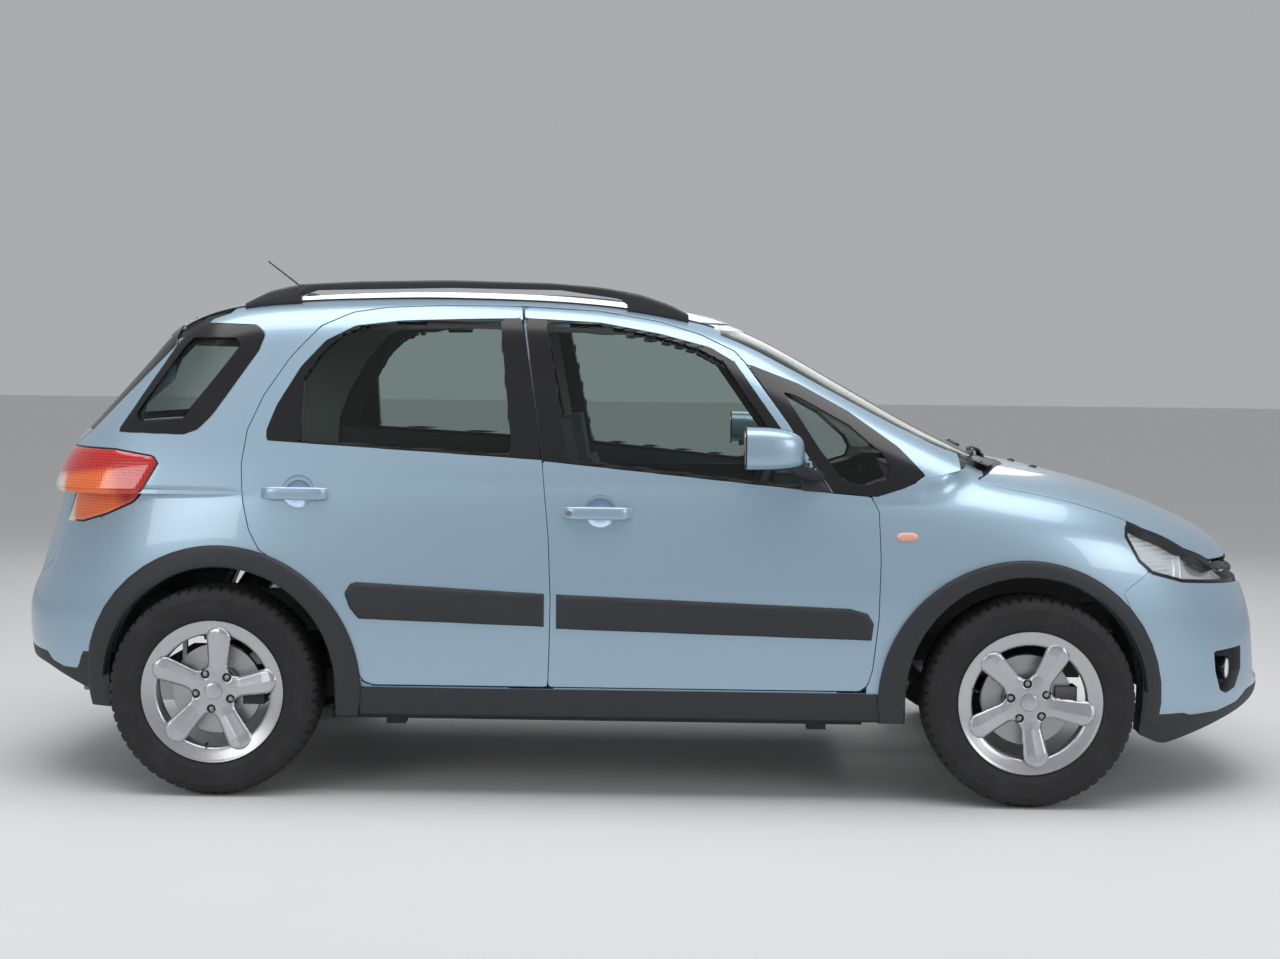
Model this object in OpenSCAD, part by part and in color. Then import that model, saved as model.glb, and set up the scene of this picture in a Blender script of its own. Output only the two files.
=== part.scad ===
// Compact five-door crossover as an assembly: +X to the front, +Y to the car's left, +Z up.
// The origin lies on the ground under the middle of the overall length.

/* [Overall] */
// Distance between the front and rear axles
wheelbase = 2500; // [2380:10:2620]
// Front axle to the foremost point of the nose
front_overhang = 866; // [820:2:900]
// Rear axle to the rearmost point of the bumper
rear_overhang = 740; // [700:2:780]
// Half of the width over the door skins
half_width = 848; // [820:1:880]
// Height of the roof's highest point over the ground
roof_height = 1573; // [1530:1:1620]

/* [Wheels] */
// Outer radius of the tyres
tyre_radius = 324; // [318:1:330]
// Section width of the tyres
tyre_width = 205; // [185:5:215]
// Height of the wheel centres over the ground
axle_height = 324; // [318:1:330]
// Distance of each wheel's middle plane from the car's middle plane
half_track = 748; // [735:1:755]
// Radius of the rim's outer lip
rim_radius = 220; // [208:1:225]
// Radius of the stub axles that the wheels turn on
stub_radius = 22; // [18:1:26]
// Radius of the ring of wheel nuts
nut_ring_radius = 57.15; // [50:0.05:60]
// Number of spokes
spokes = 5; // [5:1:6]
// Radius of the brake discs
disc_radius = 140; // [130:1:150]
// Thickness of the brake discs
disc_thick = 22; // [10:1:26]

/* [Panels] */
// Thickness of the doors and body sides below the windows
wall_low = 105; // [90:1:115]
// Thickness of the window frames and pillars
wall_high = 46; // [40:1:52]
// Thickness of the roof
roof_thick = 34; // [26:1:42]
// Depth of the outer layer of a door, in front of its seal step
skin_depth = 22; // [20:1:26]
// Width of the seal step round a door
seal_step = 24; // [18:1:28]
// How far the body's flange stands in behind the edge of a door
flange_step = 17; // [14:1:20]
// Gap between panels that move apart
shut_gap = 5; // [5:0.5:7]
// Gap between panels that stay together
seam_gap = 0.3; // [0.2:0.1:1]
// Thickness of the window glass
glass_thick = 5; // [4:0.5:7]
// How far the glass lies in from the body's surface
glass_inset = 7; // [5:1:12]
// How far the arch cladding stands out from the body
cladding_out = 16; // [10:1:20]
// Height of the edge between the doors and the sill
sill_top = 352; // [345:1:360]

/* [Hinges] */
// Radius of the door hinge pins
pin_radius = 6; // [5:0.5:8]
// Room round a hinge pin in its eye
pin_room = 0.4; // [0.3:0.1:0.6]
// Distance of a door's hinge axis behind the door's front edge
hinge_back = 58; // [54:1:64]
// Distance of a door's hinge axis in from the widest surface
hinge_in = 26; // [22:1:30]

/* [Inside] */
// Thickness of the floor
floor_thick = 24; // [18:1:30]
// Width of one front seat
seat_width = 500; // [470:5:520]
// Radius of the steering wheel
steering_radius = 185; // [175:1:192]

/* [Hidden] */
$fn = 48;
// Station lines: the outlines are drawn with the axles at these two stations
drawn_front = 1197.5;
drawn_rear = -1302.5;
half_length = (front_overhang + wheelbase + rear_overhang) / 2;
axle_front = half_length - front_overhang;
axle_rear = rear_overhang - half_length;
nose_drawn = drawn_front + 866;
tail_drawn = drawn_rear - 740;
roof_drawn = 1573;

// Place on the car of a drawn station: stretched between the axles and at both ends
function sx(x) =
  x > drawn_front ? axle_front + (x - drawn_front) * front_overhang / (nose_drawn - drawn_front) :
  x < drawn_rear ? axle_rear + (x - drawn_rear) * rear_overhang / (drawn_rear - tail_drawn) :
  axle_rear + (x - drawn_rear) * wheelbase / (drawn_front - drawn_rear);
// Real height of a drawn height: only the cabin above the belt grows with the roof
function sz(z) =
  let (belt = 1000) z < belt ? z : belt + (z - belt) * (roof_height - belt) / (roof_drawn - belt);
// Real distance from the middle plane of a drawn one
function sy(y) = y * half_width / 848;
function place(pts) = [for (p = pts) [sx(p[0]), sz(p[1])]];

// A smooth line through given corners: straight runs joined by bends of length w
function bend(u, w) = u / w > 30 ? u : w * ln(1 + exp(u / w));
function slope(p, i) = (p[i + 1][1] - p[i][1]) / (p[i + 1][0] - p[i][0]);
function total(list, i = 0) = i >= len(list) ? 0 : list[i] + total(list, i + 1);
function soft(x, p, w) =
  p[0][1] + slope(p, 0) * (x - p[0][0])
  + total([for (i = [1:1:len(p) - 2]) (slope(p, i) - slope(p, i - 1)) * bend(x - p[i][0], w)]);
// Height of a rounded cap's edge: 1 in the middle, 0 at the rim, full for large n
function cap(u, n) = u <= 0 ? 1 : u >= 1 ? 0 : pow(1 - pow(u, n), 1 / n);

// Half width of the lower body by height
side_low = [[180, 792], [260, 815], [330, 828], [450, 840], [600, 849], [720, 846], [850, 833], [1000, 815],
  [1120, 800]];
// Half width of the cabin by height
side_high = [[900, 822], [1000, 806], [1060, 790], [1200, 745], [1350, 693], [1470, 655], [1560, 630]];
// Top of the lower body: level behind the bonnet, then the middle line of bonnet and nose
bonnet_line = [[-600, 1150], [380, 1150], [1000, 1065], [1184, 1031], [1306, 1012], [1450, 980], [1600, 934],
  [1760, 870], [1880, 812], [1960, 755], [2010, 680], [2040, 580], [2064, 380]];
// Middle line of the nose by height
nose_line = [[180, 1975], [225, 2005], [270, 2056], [310, 2068], [400, 2056], [500, 2048], [590, 2030], [680, 2000],
  [780, 1980], [1000, 1950]];
// Middle line of the tail by height
tail_line = [[180, -1960], [310, -2003], [360, -2032], [440, -2044], [545, -2045], [610, -2024], [690, -1980],
  [820, -1944], [960, -1914], [1030, -1886], [1075, -1780], [1120, -1640]];
// Middle line of the windscreen and of the rear glass by height
screen_line = [[940, 1340], [1023, 1180], [1060, 1092], [1158, 883], [1293, 640], [1411, 431], [1489, 262], [1560, 60]];
rear_glass_line = [[940, -1905], [1041, -1876], [1100, -1824], [1232, -1714], [1354, -1614], [1476, -1528],
  [1560, -1465]];
// Middle line of the roof
roof_line = [[-1620, 1400], [-1500, 1488], [-1300, 1540], [-1000, 1564], [-680, 1575], [-300, 1566], [0, 1541],
  [255, 1495], [600, 1420]];
// Underside of the body
under_line = [[-2042, 385], [-1890, 368], [-1750, 315], [-1640, 280], [-1500, 250], [1480, 250], [1640, 170],
  [1780, 208], [1915, 250], [2064, 312]];

// Half width of the lower body, made smaller by t
function low_half(x, z, t) =
  let (
    top = soft(x, bonnet_line, 30) - t * 0.35,
    nose = soft(z, nose_line, 14) - t,
    tail = soft(z, tail_line, 14) + t,
    crown = cap((z - top + 330) / 330, 4),
    front = cap((x - 900) / (nose - 900), 2.7),
    back = cap((-900 - x) / (-900 - tail), 3.2)
  ) (soft(z, side_low, 30) - t) * crown * front * back;
// Half width of the cabin, made smaller by t at the sides and by r at the roof
function high_half(x, z, t, r) =
  let (
    top = soft(x, roof_line, 60) - r,
    screen = soft(z, screen_line, 20) - t * 1.2,
    glass = soft(z, rear_glass_line, 20) + t,
    crown = cap((z - 1350) / (top - 1350), 4.5),
    front = cap((x - screen + 600) / 600, 4.5),
    back = cap((glass + 450 - x) / 450, 3.5)
  ) (soft(z, side_high, 30) - t) * crown * front * back;

// Stations and heights that carry the outer surface, closer where it bends, and fewer of them for inner surfaces
low_stations = [-2042, -2032, -2005, -1960, -1880, -1780, -1650, -1480, -1200, -600, 200, 900, 1080, 1220, 1380,
  1540, 1680, 1800, 1890, 1955, 2005, 2038, 2058, 2065];
low_levels = [0, 0.06, 0.24, 0.42, 0.58, 0.72, 0.84, 0.92, 0.97, 1];
high_stations = [-1880, -1820, -1740, -1650, -1560, -1480, -1380, -1200, -900, -500, -100, 120, 260, 360, 500,
  660, 820, 980, 1100, 1200];
high_levels = [0, 0.3, 0.55, 0.74, 0.86, 0.94, 0.985, 1];
low_stations_inside = [-1990, -1900, -1750, -1500, -900, 900, 1300, 1600, 1800, 1920, 1990];
low_levels_inside = [0, 0.3, 0.62, 0.82, 0.93, 1];
high_stations_inside = [-1840, -1720, -1560, -1300, -700, 0, 240, 440, 780, 1100];
high_levels_inside = [0, 0.4, 0.7, 0.88, 0.96, 1];

// One closed outline across the car from heights and half widths
function across(x, pairs) = concat(
  [for (p = pairs) [sx(x), -sy(p[1]), sz(p[0])]],
  [for (i = [len(pairs) - 1:-1:0]) [sx(x), sy(pairs[i][1]), sz(pairs[i][0])]]);
// Heights over a station at which the lower body has a width
function low_reach(x, t, foot) =
  [for (z = [soft(x, under_line, 12) + foot:10:1090]) if (low_half(x, z, t) > 2) z];
function low_pairs(x, t, foot, levels) =
  let (
    reach = low_reach(x, t, foot),
    bottom = min(reach),
    top = min(max(reach) + 8, 1090)
  ) [for (s = levels)
    let (z = bottom + (top - bottom) * s)
    [z, max(low_half(x, z, t) - (s == 0 ? 22 : 0), 0.5)]];
// Height of the glass over a station
function glass_top(x, t, lo = 940, hi = 1600, n = 14) =
  n == 0 ? lo :
  let (mid = (lo + hi) / 2)
  (x > -300 && soft(mid, screen_line, 20) - t * 1.2 > x) || (x <= -300 && soft(mid, rear_glass_line, 20) + t < x)
    ? glass_top(x, t, mid, hi, n - 1) : glass_top(x, t, lo, mid, n - 1);
function high_pairs(x, t, r, levels, bottom) =
  let (top = min(soft(x, roof_line, 60) - r, glass_top(x, t))) [for (s = levels)
    let (z = bottom + max(top - bottom, 1) * s)
    [z, max(high_half(x, z, t, r), 0.5)]];
module skin(rows) {
  n = len(rows[0]);
  for (i = [0:len(rows) - 2])
    hull() polyhedron(concat(rows[i], rows[i + 1]), [[for (k = [0:n - 1]) k], [for (k = [2 * n - 1:-1:n]) k]]);
}
module low_form(t = 0, foot = 0, inside = false) {
  skin([for (x = inside ? low_stations_inside : low_stations)
    if (len(low_reach(x, t, foot)) > 1)
      across(x, low_pairs(x, t, foot, inside ? low_levels_inside : low_levels))]);
}
module high_form(t = 0, r = 0, inside = false, bottom = 930) {
  skin([for (x = inside ? high_stations_inside : high_stations)
    if (glass_top(x, t) > 980)
      across(x, high_pairs(x, t, r, inside ? high_levels_inside : high_levels, bottom))]);
}
// The whole body's outer form
module form(t = 0, r = 0) {
  low_form(t);
  high_form(t, r);
}
// The hollow inside walls of one thickness below the windows and another above
module hollow(low, high, r, foot, bottom = 930) {
  low_form(low, foot, true);
  high_form(high, r, true, bottom);
}

// Outlines seen from the side, as station and height
door_rear_outline = [[-377, 1519], [-620, 1519], [-800, 1511], [-905, 1494], [-1000, 1450], [-1087, 1355],
  [-1164, 1234], [-1208, 1127], [-1220, 1022], [-1212, 916], [-1191, 825], [-1158, 763], [-1105, 728], [-1029, 674],
  [-952, 598], [-891, 492], [-857, 394], [-838, 363], [-808, 352], [-272, 352], [-268, 470], [-265, 623],
  [-273, 806], [-297, 1042], [-321, 1198], [-353, 1381]];
door_front_outline = [[-371, 1519], [-350, 1381], [-321, 1198], [-297, 1042], [-273, 806], [-265, 623],
  [-268, 470], [-272, 352], [679, 352], [704, 372], [718, 422], [733, 575], [737, 758], [730, 903], [706, 946],
  [585, 956], [458, 1161], [321, 1351], [290, 1384], [181, 1436], [57, 1474], [-130, 1506]];
window_rear_outline = [[-438, 1473], [-752, 1467], [-870, 1453], [-935, 1425], [-990, 1375], [-1060, 1265],
  [-1110, 1165], [-1128, 1110], [-1100, 1096], [-395, 1056], [-388, 1066]];
window_front_outline = [[-301, 1473], [-129, 1463], [58, 1427], [182, 1390], [259, 1350], [342, 1229], [458, 1062],
  [524, 968], [-212, 1044], [-222, 1056]];
quarter_front_outline = [[434, 1266], [489, 1246], [641, 1163], [745, 1074], [768, 1032], [759, 1000], [693, 979],
  [624, 991], [549, 1087]];
quarter_rear_outline = [[-1405, 1413], [-1264, 1412], [-1246, 1387], [-1411, 1155], [-1441, 1144], [-1555, 1150],
  [-1566, 1172], [-1433, 1385]];
tail_lamp_outline = [[-1900, 1071], [-1617, 1066], [-1492, 1046], [-1474, 1022], [-1518, 943], [-1565, 896],
  [-1657, 856], [-1750, 828], [-1980, 820]];
headlamp_outline = [[1489, 828], [1494, 858], [1526, 886], [1590, 872], [1680, 836], [1760, 790], [1860, 745],
  [1960, 700], [1960, 660], [1780, 676], [1681, 685], [1575, 714], [1529, 753]];
front_bumper_outline = [[2100, 150], [1560, 150], [1530, 560], [1481, 661], [1560, 717], [1600, 740], [1600, 900],
  [2100, 900]];
rear_bumper_outline = [[-2100, 250], [-1560, 250], [-1560, 600], [-1603, 666], [-1633, 703], [-1667, 773],
  [-1679, 849], [-1700, 870], [-2100, 870]];

// A side outline drawn through the whole width, or one side of it
module through(pts, grow = 0, side = 0) {
  translate([0, side == 0 ? 1200 : side > 0 ? 1200 : 0, 0])
    rotate([90, 0, 0])
      linear_extrude(side == 0 ? 2400 : 1200)
        offset(delta = grow) polygon(place(pts));
}
module both_sides() {
  children();
  mirror([0, 1, 0]) children();
}
module keep_side(side) {
  intersection() {
    children();
    translate([-3000, side > 0 ? 1 : -1401, -100]) cube([6000, 1400, 2000]);
  }
}

// Arches: openings for the wheels, and the cladding round them
arch_rear = [axle_rear + 20, 352, 358];
arch_front = [axle_front - 14, 345, 366];
clad_rear = [axle_rear + 18, 337, 438];
clad_front = [axle_front - 22, 320, 440];
module wheel_cut(arch, grow = 0) {
  translate([arch[0], 1200, arch[1]]) rotate([90, 0, 0]) cylinder(h = 2400, r = arch[2] + grow, $fn = 44);
  translate([arch[0] - arch[2] - grow, -1200, 0]) cube([2 * (arch[2] + grow), 2400, arch[1]]);
}

// Door hinges: axis of a door's pins, and the round space that its front edge swings through
hinge_front = [sx(737) - hinge_back, sy(849) - hinge_in];
hinge_rear = [sx(-265) - hinge_back, sy(849) - hinge_in];
hinge_levels = [440, 720];
// Height and station of the door's front edge, where the hinge arms' ends seat on the pillar
hinge_edge_front = [[422, 718], [575, 733], [758, 737]];
hinge_edge_rear = [[352, -272], [470, -268], [623, -265], [806, -273]];
swing_radius = sqrt(hinge_back * hinge_back + hinge_in * hinge_in) + shut_gap;
// The doors' front edges lie further back above the waist, so the space is narrower there
waist_step = 13;
arm_half = 14;
arm_reach = 78;
module swing_space(h, top, grow = 0) {
  translate([h[0], h[1], sill_top - 6]) cylinder(h = 940 - sill_top, r = swing_radius + grow, $fn = 32);
  translate([h[0], h[1], 900]) cylinder(h = top - 900, r = swing_radius - waist_step + grow, $fn = 32);
}
// What a door leaves free for its hinge arms, and the eyes for the pins
module hinge_pocket(h) {
  for (z = hinge_levels) {
    translate([h[0] - 32, h[1] - 200, z - arm_half - 3]) cube([140, 200 + hinge_in - skin_depth, 2 * arm_half + 6]);
    translate([h[0], h[1], z - arm_half - 3]) cylinder(h = 2 * arm_half + 6, r = 16, $fn = 20);
    translate([h[0], h[1], z - 48]) cylinder(h = 96, r = pin_radius + pin_room, $fn = 20);
  }
}

// The hollow of cabin and load space, with room for the heads of those in front
head_half = 632;
module cabin() {
  hollow(wall_low, wall_high, roof_thick, 60, 965);
  translate([sx(-40), -sy(head_half), 470]) cube([sx(304) - sx(-40), 2 * sy(head_half), sz(1369) - 470]);
}
module seal_face(grow = 0) {
  hollow(skin_depth + grow, skin_depth + grow, 20, 40);
}
module door_layers(outline) {
  difference() {
    intersection() {
      form();
      through(outline, -shut_gap / 2);
    }
    cabin();
    difference() {
      seal_face();
      through(outline, -shut_gap / 2 - seal_step);
    }
  }
}
// The doors end beside the cant rails, at this distance from the middle plane
door_top_y = 592;
module cant_rails(room = 0) {
  translate([-3000, -sy(door_top_y) + room, 1250]) cube([6000, 2 * (sy(door_top_y) - room), 600]);
}
// Handles: station and height of each door's cup, and its size in the skin
handle_front = [-116, 893];
handle_rear = [-1041, 942];
cup_radius = 50;
cup_depth = 22;
module handle_cup(at, side) {
  translate([sx(at[0]), side * (sy(soft(at[1], side_low, 30)) + 10), at[1]]) rotate([side * 90, 0, 0])
    cylinder(h = cup_depth + 10, r1 = cup_radius + 8, r2 = cup_radius - 20, $fn = 24);
}
// Room that a front door leaves behind its rear edge for the turning edge of the rear door
swing_trim = 3;
module door(outline, window, h, handle_at, side) {
  keep_side(side)
    difference() {
      door_layers(outline);
      cant_rails();
      through(window);
      handle_cup(handle_at, side);
      mirror([0, side > 0 ? 0 : 1, 0]) {
        hinge_pocket(h);
        if (h == hinge_front) swing_space(hinge_rear, 1044, -swing_trim);
      }
    }
}
// Panes follow the body's surface a little way in
module pane(outline, grow, side) {
  mirror([0, side > 0 ? 0 : 1, 0]) keep_side(1)
    intersection() {
      difference() {
        form(glass_inset, glass_inset);
        form(glass_inset + glass_thick, glass_inset + glass_thick);
      }
      through(outline, grow);
    }
}
// The rear doors swing back at first, so their holes are a little larger
rear_hole_room = 1.5;
flange_rear = flange_step - 2 * rear_hole_room;
module door_holes() {
  difference() {
    union()
      for (rear = [false, true]) {
        outline = rear ? door_rear_outline : door_front_outline;
        through(outline, rear ? -flange_rear : -flange_step);
        difference() {
          through(outline, shut_gap / 2 + (rear ? rear_hole_room : 0));
          seal_face(shut_gap);
        }
      }
    cant_rails(shut_gap);
  }
  both_sides() {
    swing_space(hinge_front, 961);
    swing_space(hinge_rear, 1044);
  }
}

// Outlines seen from above, as station and distance from the middle
roof_half = 540;
bonnet_half = [[1030, 716], [1150, 722], [1400, 712], [1560, 690], [1700, 640], [1800, 570], [1870, 470],
  [1915, 330], [1935, 150]];
bonnet_rear = [[1070, 640], [1165, 400], [1205, 0], [1165, -400], [1070, -640]];
bonnet_outline = concat(bonnet_rear, [for (p = bonnet_half) [p[0], -p[1]]],
  [for (i = [len(bonnet_half) - 1:-1:0]) bonnet_half[i]]);
module above(pts, z0, z1, grow = 0) {
  translate([0, 0, z0]) linear_extrude(z1 - z0)
    offset(delta = grow) polygon([for (p = pts) [sx(p[0]), sy(p[1])]]);
}
// Outlines seen from behind or in front, as distance from the middle and height
tailgate_outline = [[-560, 1580], [560, 1580], [600, 1440], [640, 1110], [600, 1070], [590, 850], [560, 700],
  [520, 660], [-520, 660], [-560, 700], [-590, 850], [-600, 1070], [-640, 1110], [-600, 1440]];
rear_window_outline = [[-520, 1420], [520, 1420], [565, 1125], [-565, 1125]];
screen_outline = [[-690, 1035], [-600, 1440], [-560, 1474], [560, 1474], [600, 1440], [690, 1035]];
module along(pts, x0, x1, grow = 0) {
  translate([sx(x0), 0, 0]) rotate([90, 0, 90])
    linear_extrude(sx(x1) - sx(x0))
      offset(delta = grow) polygon([for (p = pts) [sy(p[0]), sz(p[1])]]);
}
module tail_shape(grow = 0) { along(tailgate_outline, -2200, tailgate_edge + grow, grow); }
module rear_window_shape(grow = 0) { along(rear_window_outline, -2100, -1490, grow); }
module screen_shape(grow = 0) { along(screen_outline, 240, 1400, grow); }
module roof_shape(grow = 0) {
  translate([sx(tailgate_edge + shut_gap) - grow, -sy(roof_half) - grow, 1440])
    cube([sx(235) - sx(tailgate_edge + shut_gap) + 2 * grow, 2 * (sy(roof_half) + grow), 400]);
}
// Side region of the front wings
wing_outline = [[700, 100], [700, 946], [804, 971], [873, 1002], [940, 1017], [1010, 1032], [1010, 1300],
  [1700, 1300], [1700, 640], [1530, 560], [1530, 100]];

// Lid hinges: station and height of the axes, and the space the lids' edges swing through
bonnet_hinge = [sx(990), 975];
bonnet_pin_y = sy(690);
strap_y = sy(660);
lid_room = 34;
tailgate_back = 16;
tailgate_depth = 14;
tailgate_edge = -1470;
tailgate_hinge = [sx(tailgate_edge) + tailgate_back,
  sz(soft(tailgate_edge + tailgate_back, roof_line, 60)) - tailgate_depth];
tailgate_hinge_y = 380;
eye_half = 11;
lid_pin = 4.5;
module lid_swing(h, r, half) {
  translate([h[0], half, h[1]]) rotate([90, 0, 0]) cylinder(h = 2 * half, r = r, $fn = 32);
}

// Room for the bonnet's hinge straps, beside the cowl
cowl_half = sy(640);
module strap_space() {
  translate([bonnet_hinge[0] - lid_room, -bonnet_pin_y, bonnet_hinge[1] - lid_room])
    cube([lid_room + 78, 2 * bonnet_pin_y, 200]);
  translate([bonnet_hinge[0] + 30, -bonnet_pin_y - 18, bonnet_hinge[1] - lid_room])
    cube([48, 2 * (bonnet_pin_y + 18), 200]);
}

module body_shell() {
  color("lightsteelblue")
    difference() {
      form();
      cabin();
      door_holes();
      through(quarter_rear_outline, 8);
      through(quarter_front_outline, 8);
      wheel_cut(arch_rear);
      above(bonnet_outline, 700, 1200, shut_gap);
      through(rear_bumper_outline, seam_gap);
      through(tail_lamp_outline, seam_gap);
      difference() {
        through(wing_outline, seam_gap);
        intersection() {
          low_form(60.6, 60, true);
          translate([0, -2000, -100]) cube([sx(800), 4000, 1080]);
        }
      }
      tail_shape(shut_gap);
      roof_shape(seam_gap);
      screen_shape(seam_gap);
      lid_swing(bonnet_hinge, lid_room, bonnet_pin_y);
      translate([sx(880), -2000, -100]) cube([2000, 4000, 1080]);
      translate([sx(860), -cowl_half - seam_gap, -100]) cube([2000, 2 * (cowl_half + seam_gap), 1300]);
      translate([-2500, -570, 0]) cube([5000, 1140, 990]);
    }
}
module roof() {
  color("lightsteelblue")
    intersection() {
      difference() {
        form();
        cabin();
        for (s = [-1, 1])
          translate([tailgate_hinge[0], s * tailgate_hinge_y, tailgate_hinge[1]]) {
            translate([-60, -eye_half - 2, -60]) cube([60 + 10.5, 2 * eye_half + 4, 60]);
            translate([-60, -eye_half - 2, -1]) cube([60, 2 * eye_half + 4, 11]);
            rotate([90, 0, 0]) cylinder(h = 2 * eye_half + 4, r = 10.5, center = true, $fn = 32);
            rotate([90, 0, 0]) cylinder(h = 70, r = lid_pin + pin_room, center = true, $fn = 32);
          }
      }
      roof_shape();
    }
}
module fixed_glass() {
  color([0.5, 0.6, 0.58, 0.5]) {
    intersection() {
      difference() {
        high_form(glass_inset, glass_inset);
        high_form(glass_inset + glass_thick, glass_inset + glass_thick);
      }
      screen_shape(-0.3);
    }
    for (side = [-1, 1]) {
      pane(quarter_front_outline, 7.7, side);
      pane(quarter_rear_outline, 7.7, side);
    }
  }
}
module front_wings() {
  color("lightsteelblue")
    difference() {
      intersection() {
        low_form();
        through(wing_outline);
      }
      low_form(60, 60, true);
      through(door_front_outline, shut_gap / 2);
      wheel_cut(arch_front);
      above(bonnet_outline, 700, 1200, shut_gap);
      through(front_bumper_outline, seam_gap);
      through(headlamp_outline, seam_gap);
      translate([0, -cowl_half - seam_gap, 0]) cube([3000, 2 * (cowl_half + seam_gap), 1400]);
      screen_shape(seam_gap);
      strap_space();
      high_form(-0.3);
      lid_swing(bonnet_hinge, lid_room, bonnet_pin_y);
      both_sides() swing_space(hinge_front, 961);
    }
}
module cowl() {
  color("dimgray")
    difference() {
      intersection() {
        translate([0, 0, -8]) low_form(10);
        translate([sx(860) + seam_gap, -cowl_half, 990]) cube([400, 2 * cowl_half, 200]);
      }
      above(bonnet_outline, 700, 1200, shut_gap);
      high_form(-0.5);
    }
}
module bonnet() {
  color("lightsteelblue")
    difference() {
      union() {
        intersection() {
          difference() {
            low_form();
            translate([0, 0, -26]) low_form();
          }
          above(bonnet_outline, 740, 1200);
        }
        for (s = [-1, 1])
          translate([bonnet_hinge[0], s * strap_y + 9, bonnet_hinge[1]]) rotate([90, 0, 0]) linear_extrude(18)
            hull() {
              circle(r = 12, $fn = 24);
              translate([95, 12]) circle(r = 9, $fn = 24);
            }
      }
      translate([bonnet_hinge[0], 0, bonnet_hinge[1]]) rotate([90, 0, 0])
        cylinder(h = 1500, r = lid_pin + pin_room, center = true, $fn = 32);
    }
}
// The bumpers are open underneath, and their lowest parts are unpainted like the cladding
module bumper_wall() {
  difference() {
    low_form();
    low_form(45, -60, true);
  }
}
front_valance = [[1540, 100], [1540, 276], [1697, 276], [1723, 267], [1824, 269], [1903, 289], [1949, 322],
  [2100, 335], [2100, 100]];
rear_valance = [[-2100, 420], [-1884, 409], [-1862, 384], [-1814, 369], [-1758, 370], [-1738, 427], [-1540, 427],
  [-1540, 200], [-2100, 200]];
module valances(grow = 0) {
  through(front_valance, grow);
  through(rear_valance, grow);
}
module front_bumper() {
  color("lightsteelblue")
    difference() {
      intersection() {
        bumper_wall();
        through(front_bumper_outline);
      }
      wheel_cut(arch_front);
      above(bonnet_outline, 700, 1200, shut_gap);
      through(headlamp_outline, seam_gap);
      grille_space(seam_gap);
      valances(seam_gap);
    }
}
module grille_space(grow = 0) {
  translate([sx(1850), -sy(430) - grow, 655 - grow]) cube([400, 2 * (sy(430) + grow), 140 + 2 * grow]);
  translate([sx(1850), -sy(420) - grow, 340 - grow]) cube([400, 2 * (sy(420) + grow), 170 + 2 * grow]);
}
module grille() {
  color("dimgray")
    intersection() {
      difference() {
        low_form(12, 0, true);
        low_form(30, 20, true);
      }
      difference() {
        grille_space();
        for (z = [358:38:480])
          translate([0, -sy(400), z]) cube([3000, 2 * sy(400), 22]);
        for (z = [671:34:740])
          translate([0, -sy(410), z]) cube([3000, 2 * sy(410), 20]);
        translate([0, -sy(500), 725]) cube([3000, 2 * sy(500), 100]);
        above(bonnet_outline, 700, 1200, shut_gap);
      }
    }
}
module rear_bumper() {
  color("lightsteelblue")
    difference() {
      intersection() {
        bumper_wall();
        through(rear_bumper_outline);
      }
      wheel_cut(arch_rear);
      tail_shape(shut_gap);
      through(tail_lamp_outline, seam_gap);
      valances(seam_gap);
    }
}
module headlamps() {
  color("lightgray")
    difference() {
      intersection() {
        low_form();
        through(headlamp_outline);
      }
      low_form(70, 30, true);
      above(bonnet_outline, 700, 1200, shut_gap);
      translate([1000, -sy(470), 0]) cube([2000, 2 * sy(470), 1400]);
    }
}
module tail_lamps() {
  color("firebrick")
    difference() {
      intersection() {
        form();
        through(tail_lamp_outline);
      }
      hollow(70, 46, roof_thick, 30);
      tail_shape(shut_gap);
    }
}
module tailgate() {
  color("lightsteelblue")
    difference() {
      intersection() {
        form();
        tail_shape();
      }
      hollow(60, 44, 34, 60);
      rear_window_shape();
    }
  color("lightsteelblue")
    for (s = [-1, 1])
      translate([tailgate_hinge[0], s * tailgate_hinge_y + eye_half, tailgate_hinge[1]]) rotate([90, 0, 0])
        linear_extrude(2 * eye_half)
          difference() {
            hull() {
              circle(r = 8, $fn = 24);
              translate([-30, -18]) circle(r = 8, $fn = 24);
            }
            circle(r = lid_pin + pin_room, $fn = 32);
          }
}
module tailgate_glass() {
  color([0.4, 0.5, 0.48, 0.5])
    intersection() {
      difference() {
        form(glass_inset, glass_inset);
        form(glass_inset + glass_thick, glass_inset + glass_thick);
      }
      rear_window_shape(-0.3);
    }
}
sill_out = 7;
module cladding() {
  color("dimgray") {
    both_sides()
      difference() {
        union() {
          intersection() {
            low_form(-cladding_out);
            union()
              for (ring = [clad_front, clad_rear])
                translate([ring[0], -60, ring[1]]) rotate([90, 0, 0]) cylinder(h = 1000, r = ring[2], $fn = 44);
            translate([-3000, -1000, 250]) cube([6000, 500, 800]);
          }
          intersection() {
            low_form(-sill_out);
            translate([clad_rear[0], -1000, 262]) cube([clad_front[0] - clad_rear[0], 500, sill_top - 10 - 262]);
          }
        }
        low_form(-0.4);
        through(door_front_outline, shut_gap / 2);
        through(door_rear_outline, shut_gap / 2);
        for (arch = [arch_front, arch_rear]) wheel_cut(arch);
      }
    difference() {
      intersection() {
        bumper_wall();
        union() {
          through(front_bumper_outline);
          through(rear_bumper_outline);
        }
        valances();
      }
      wheel_cut(arch_front);
      wheel_cut(arch_rear);
    }
  }
}

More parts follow.
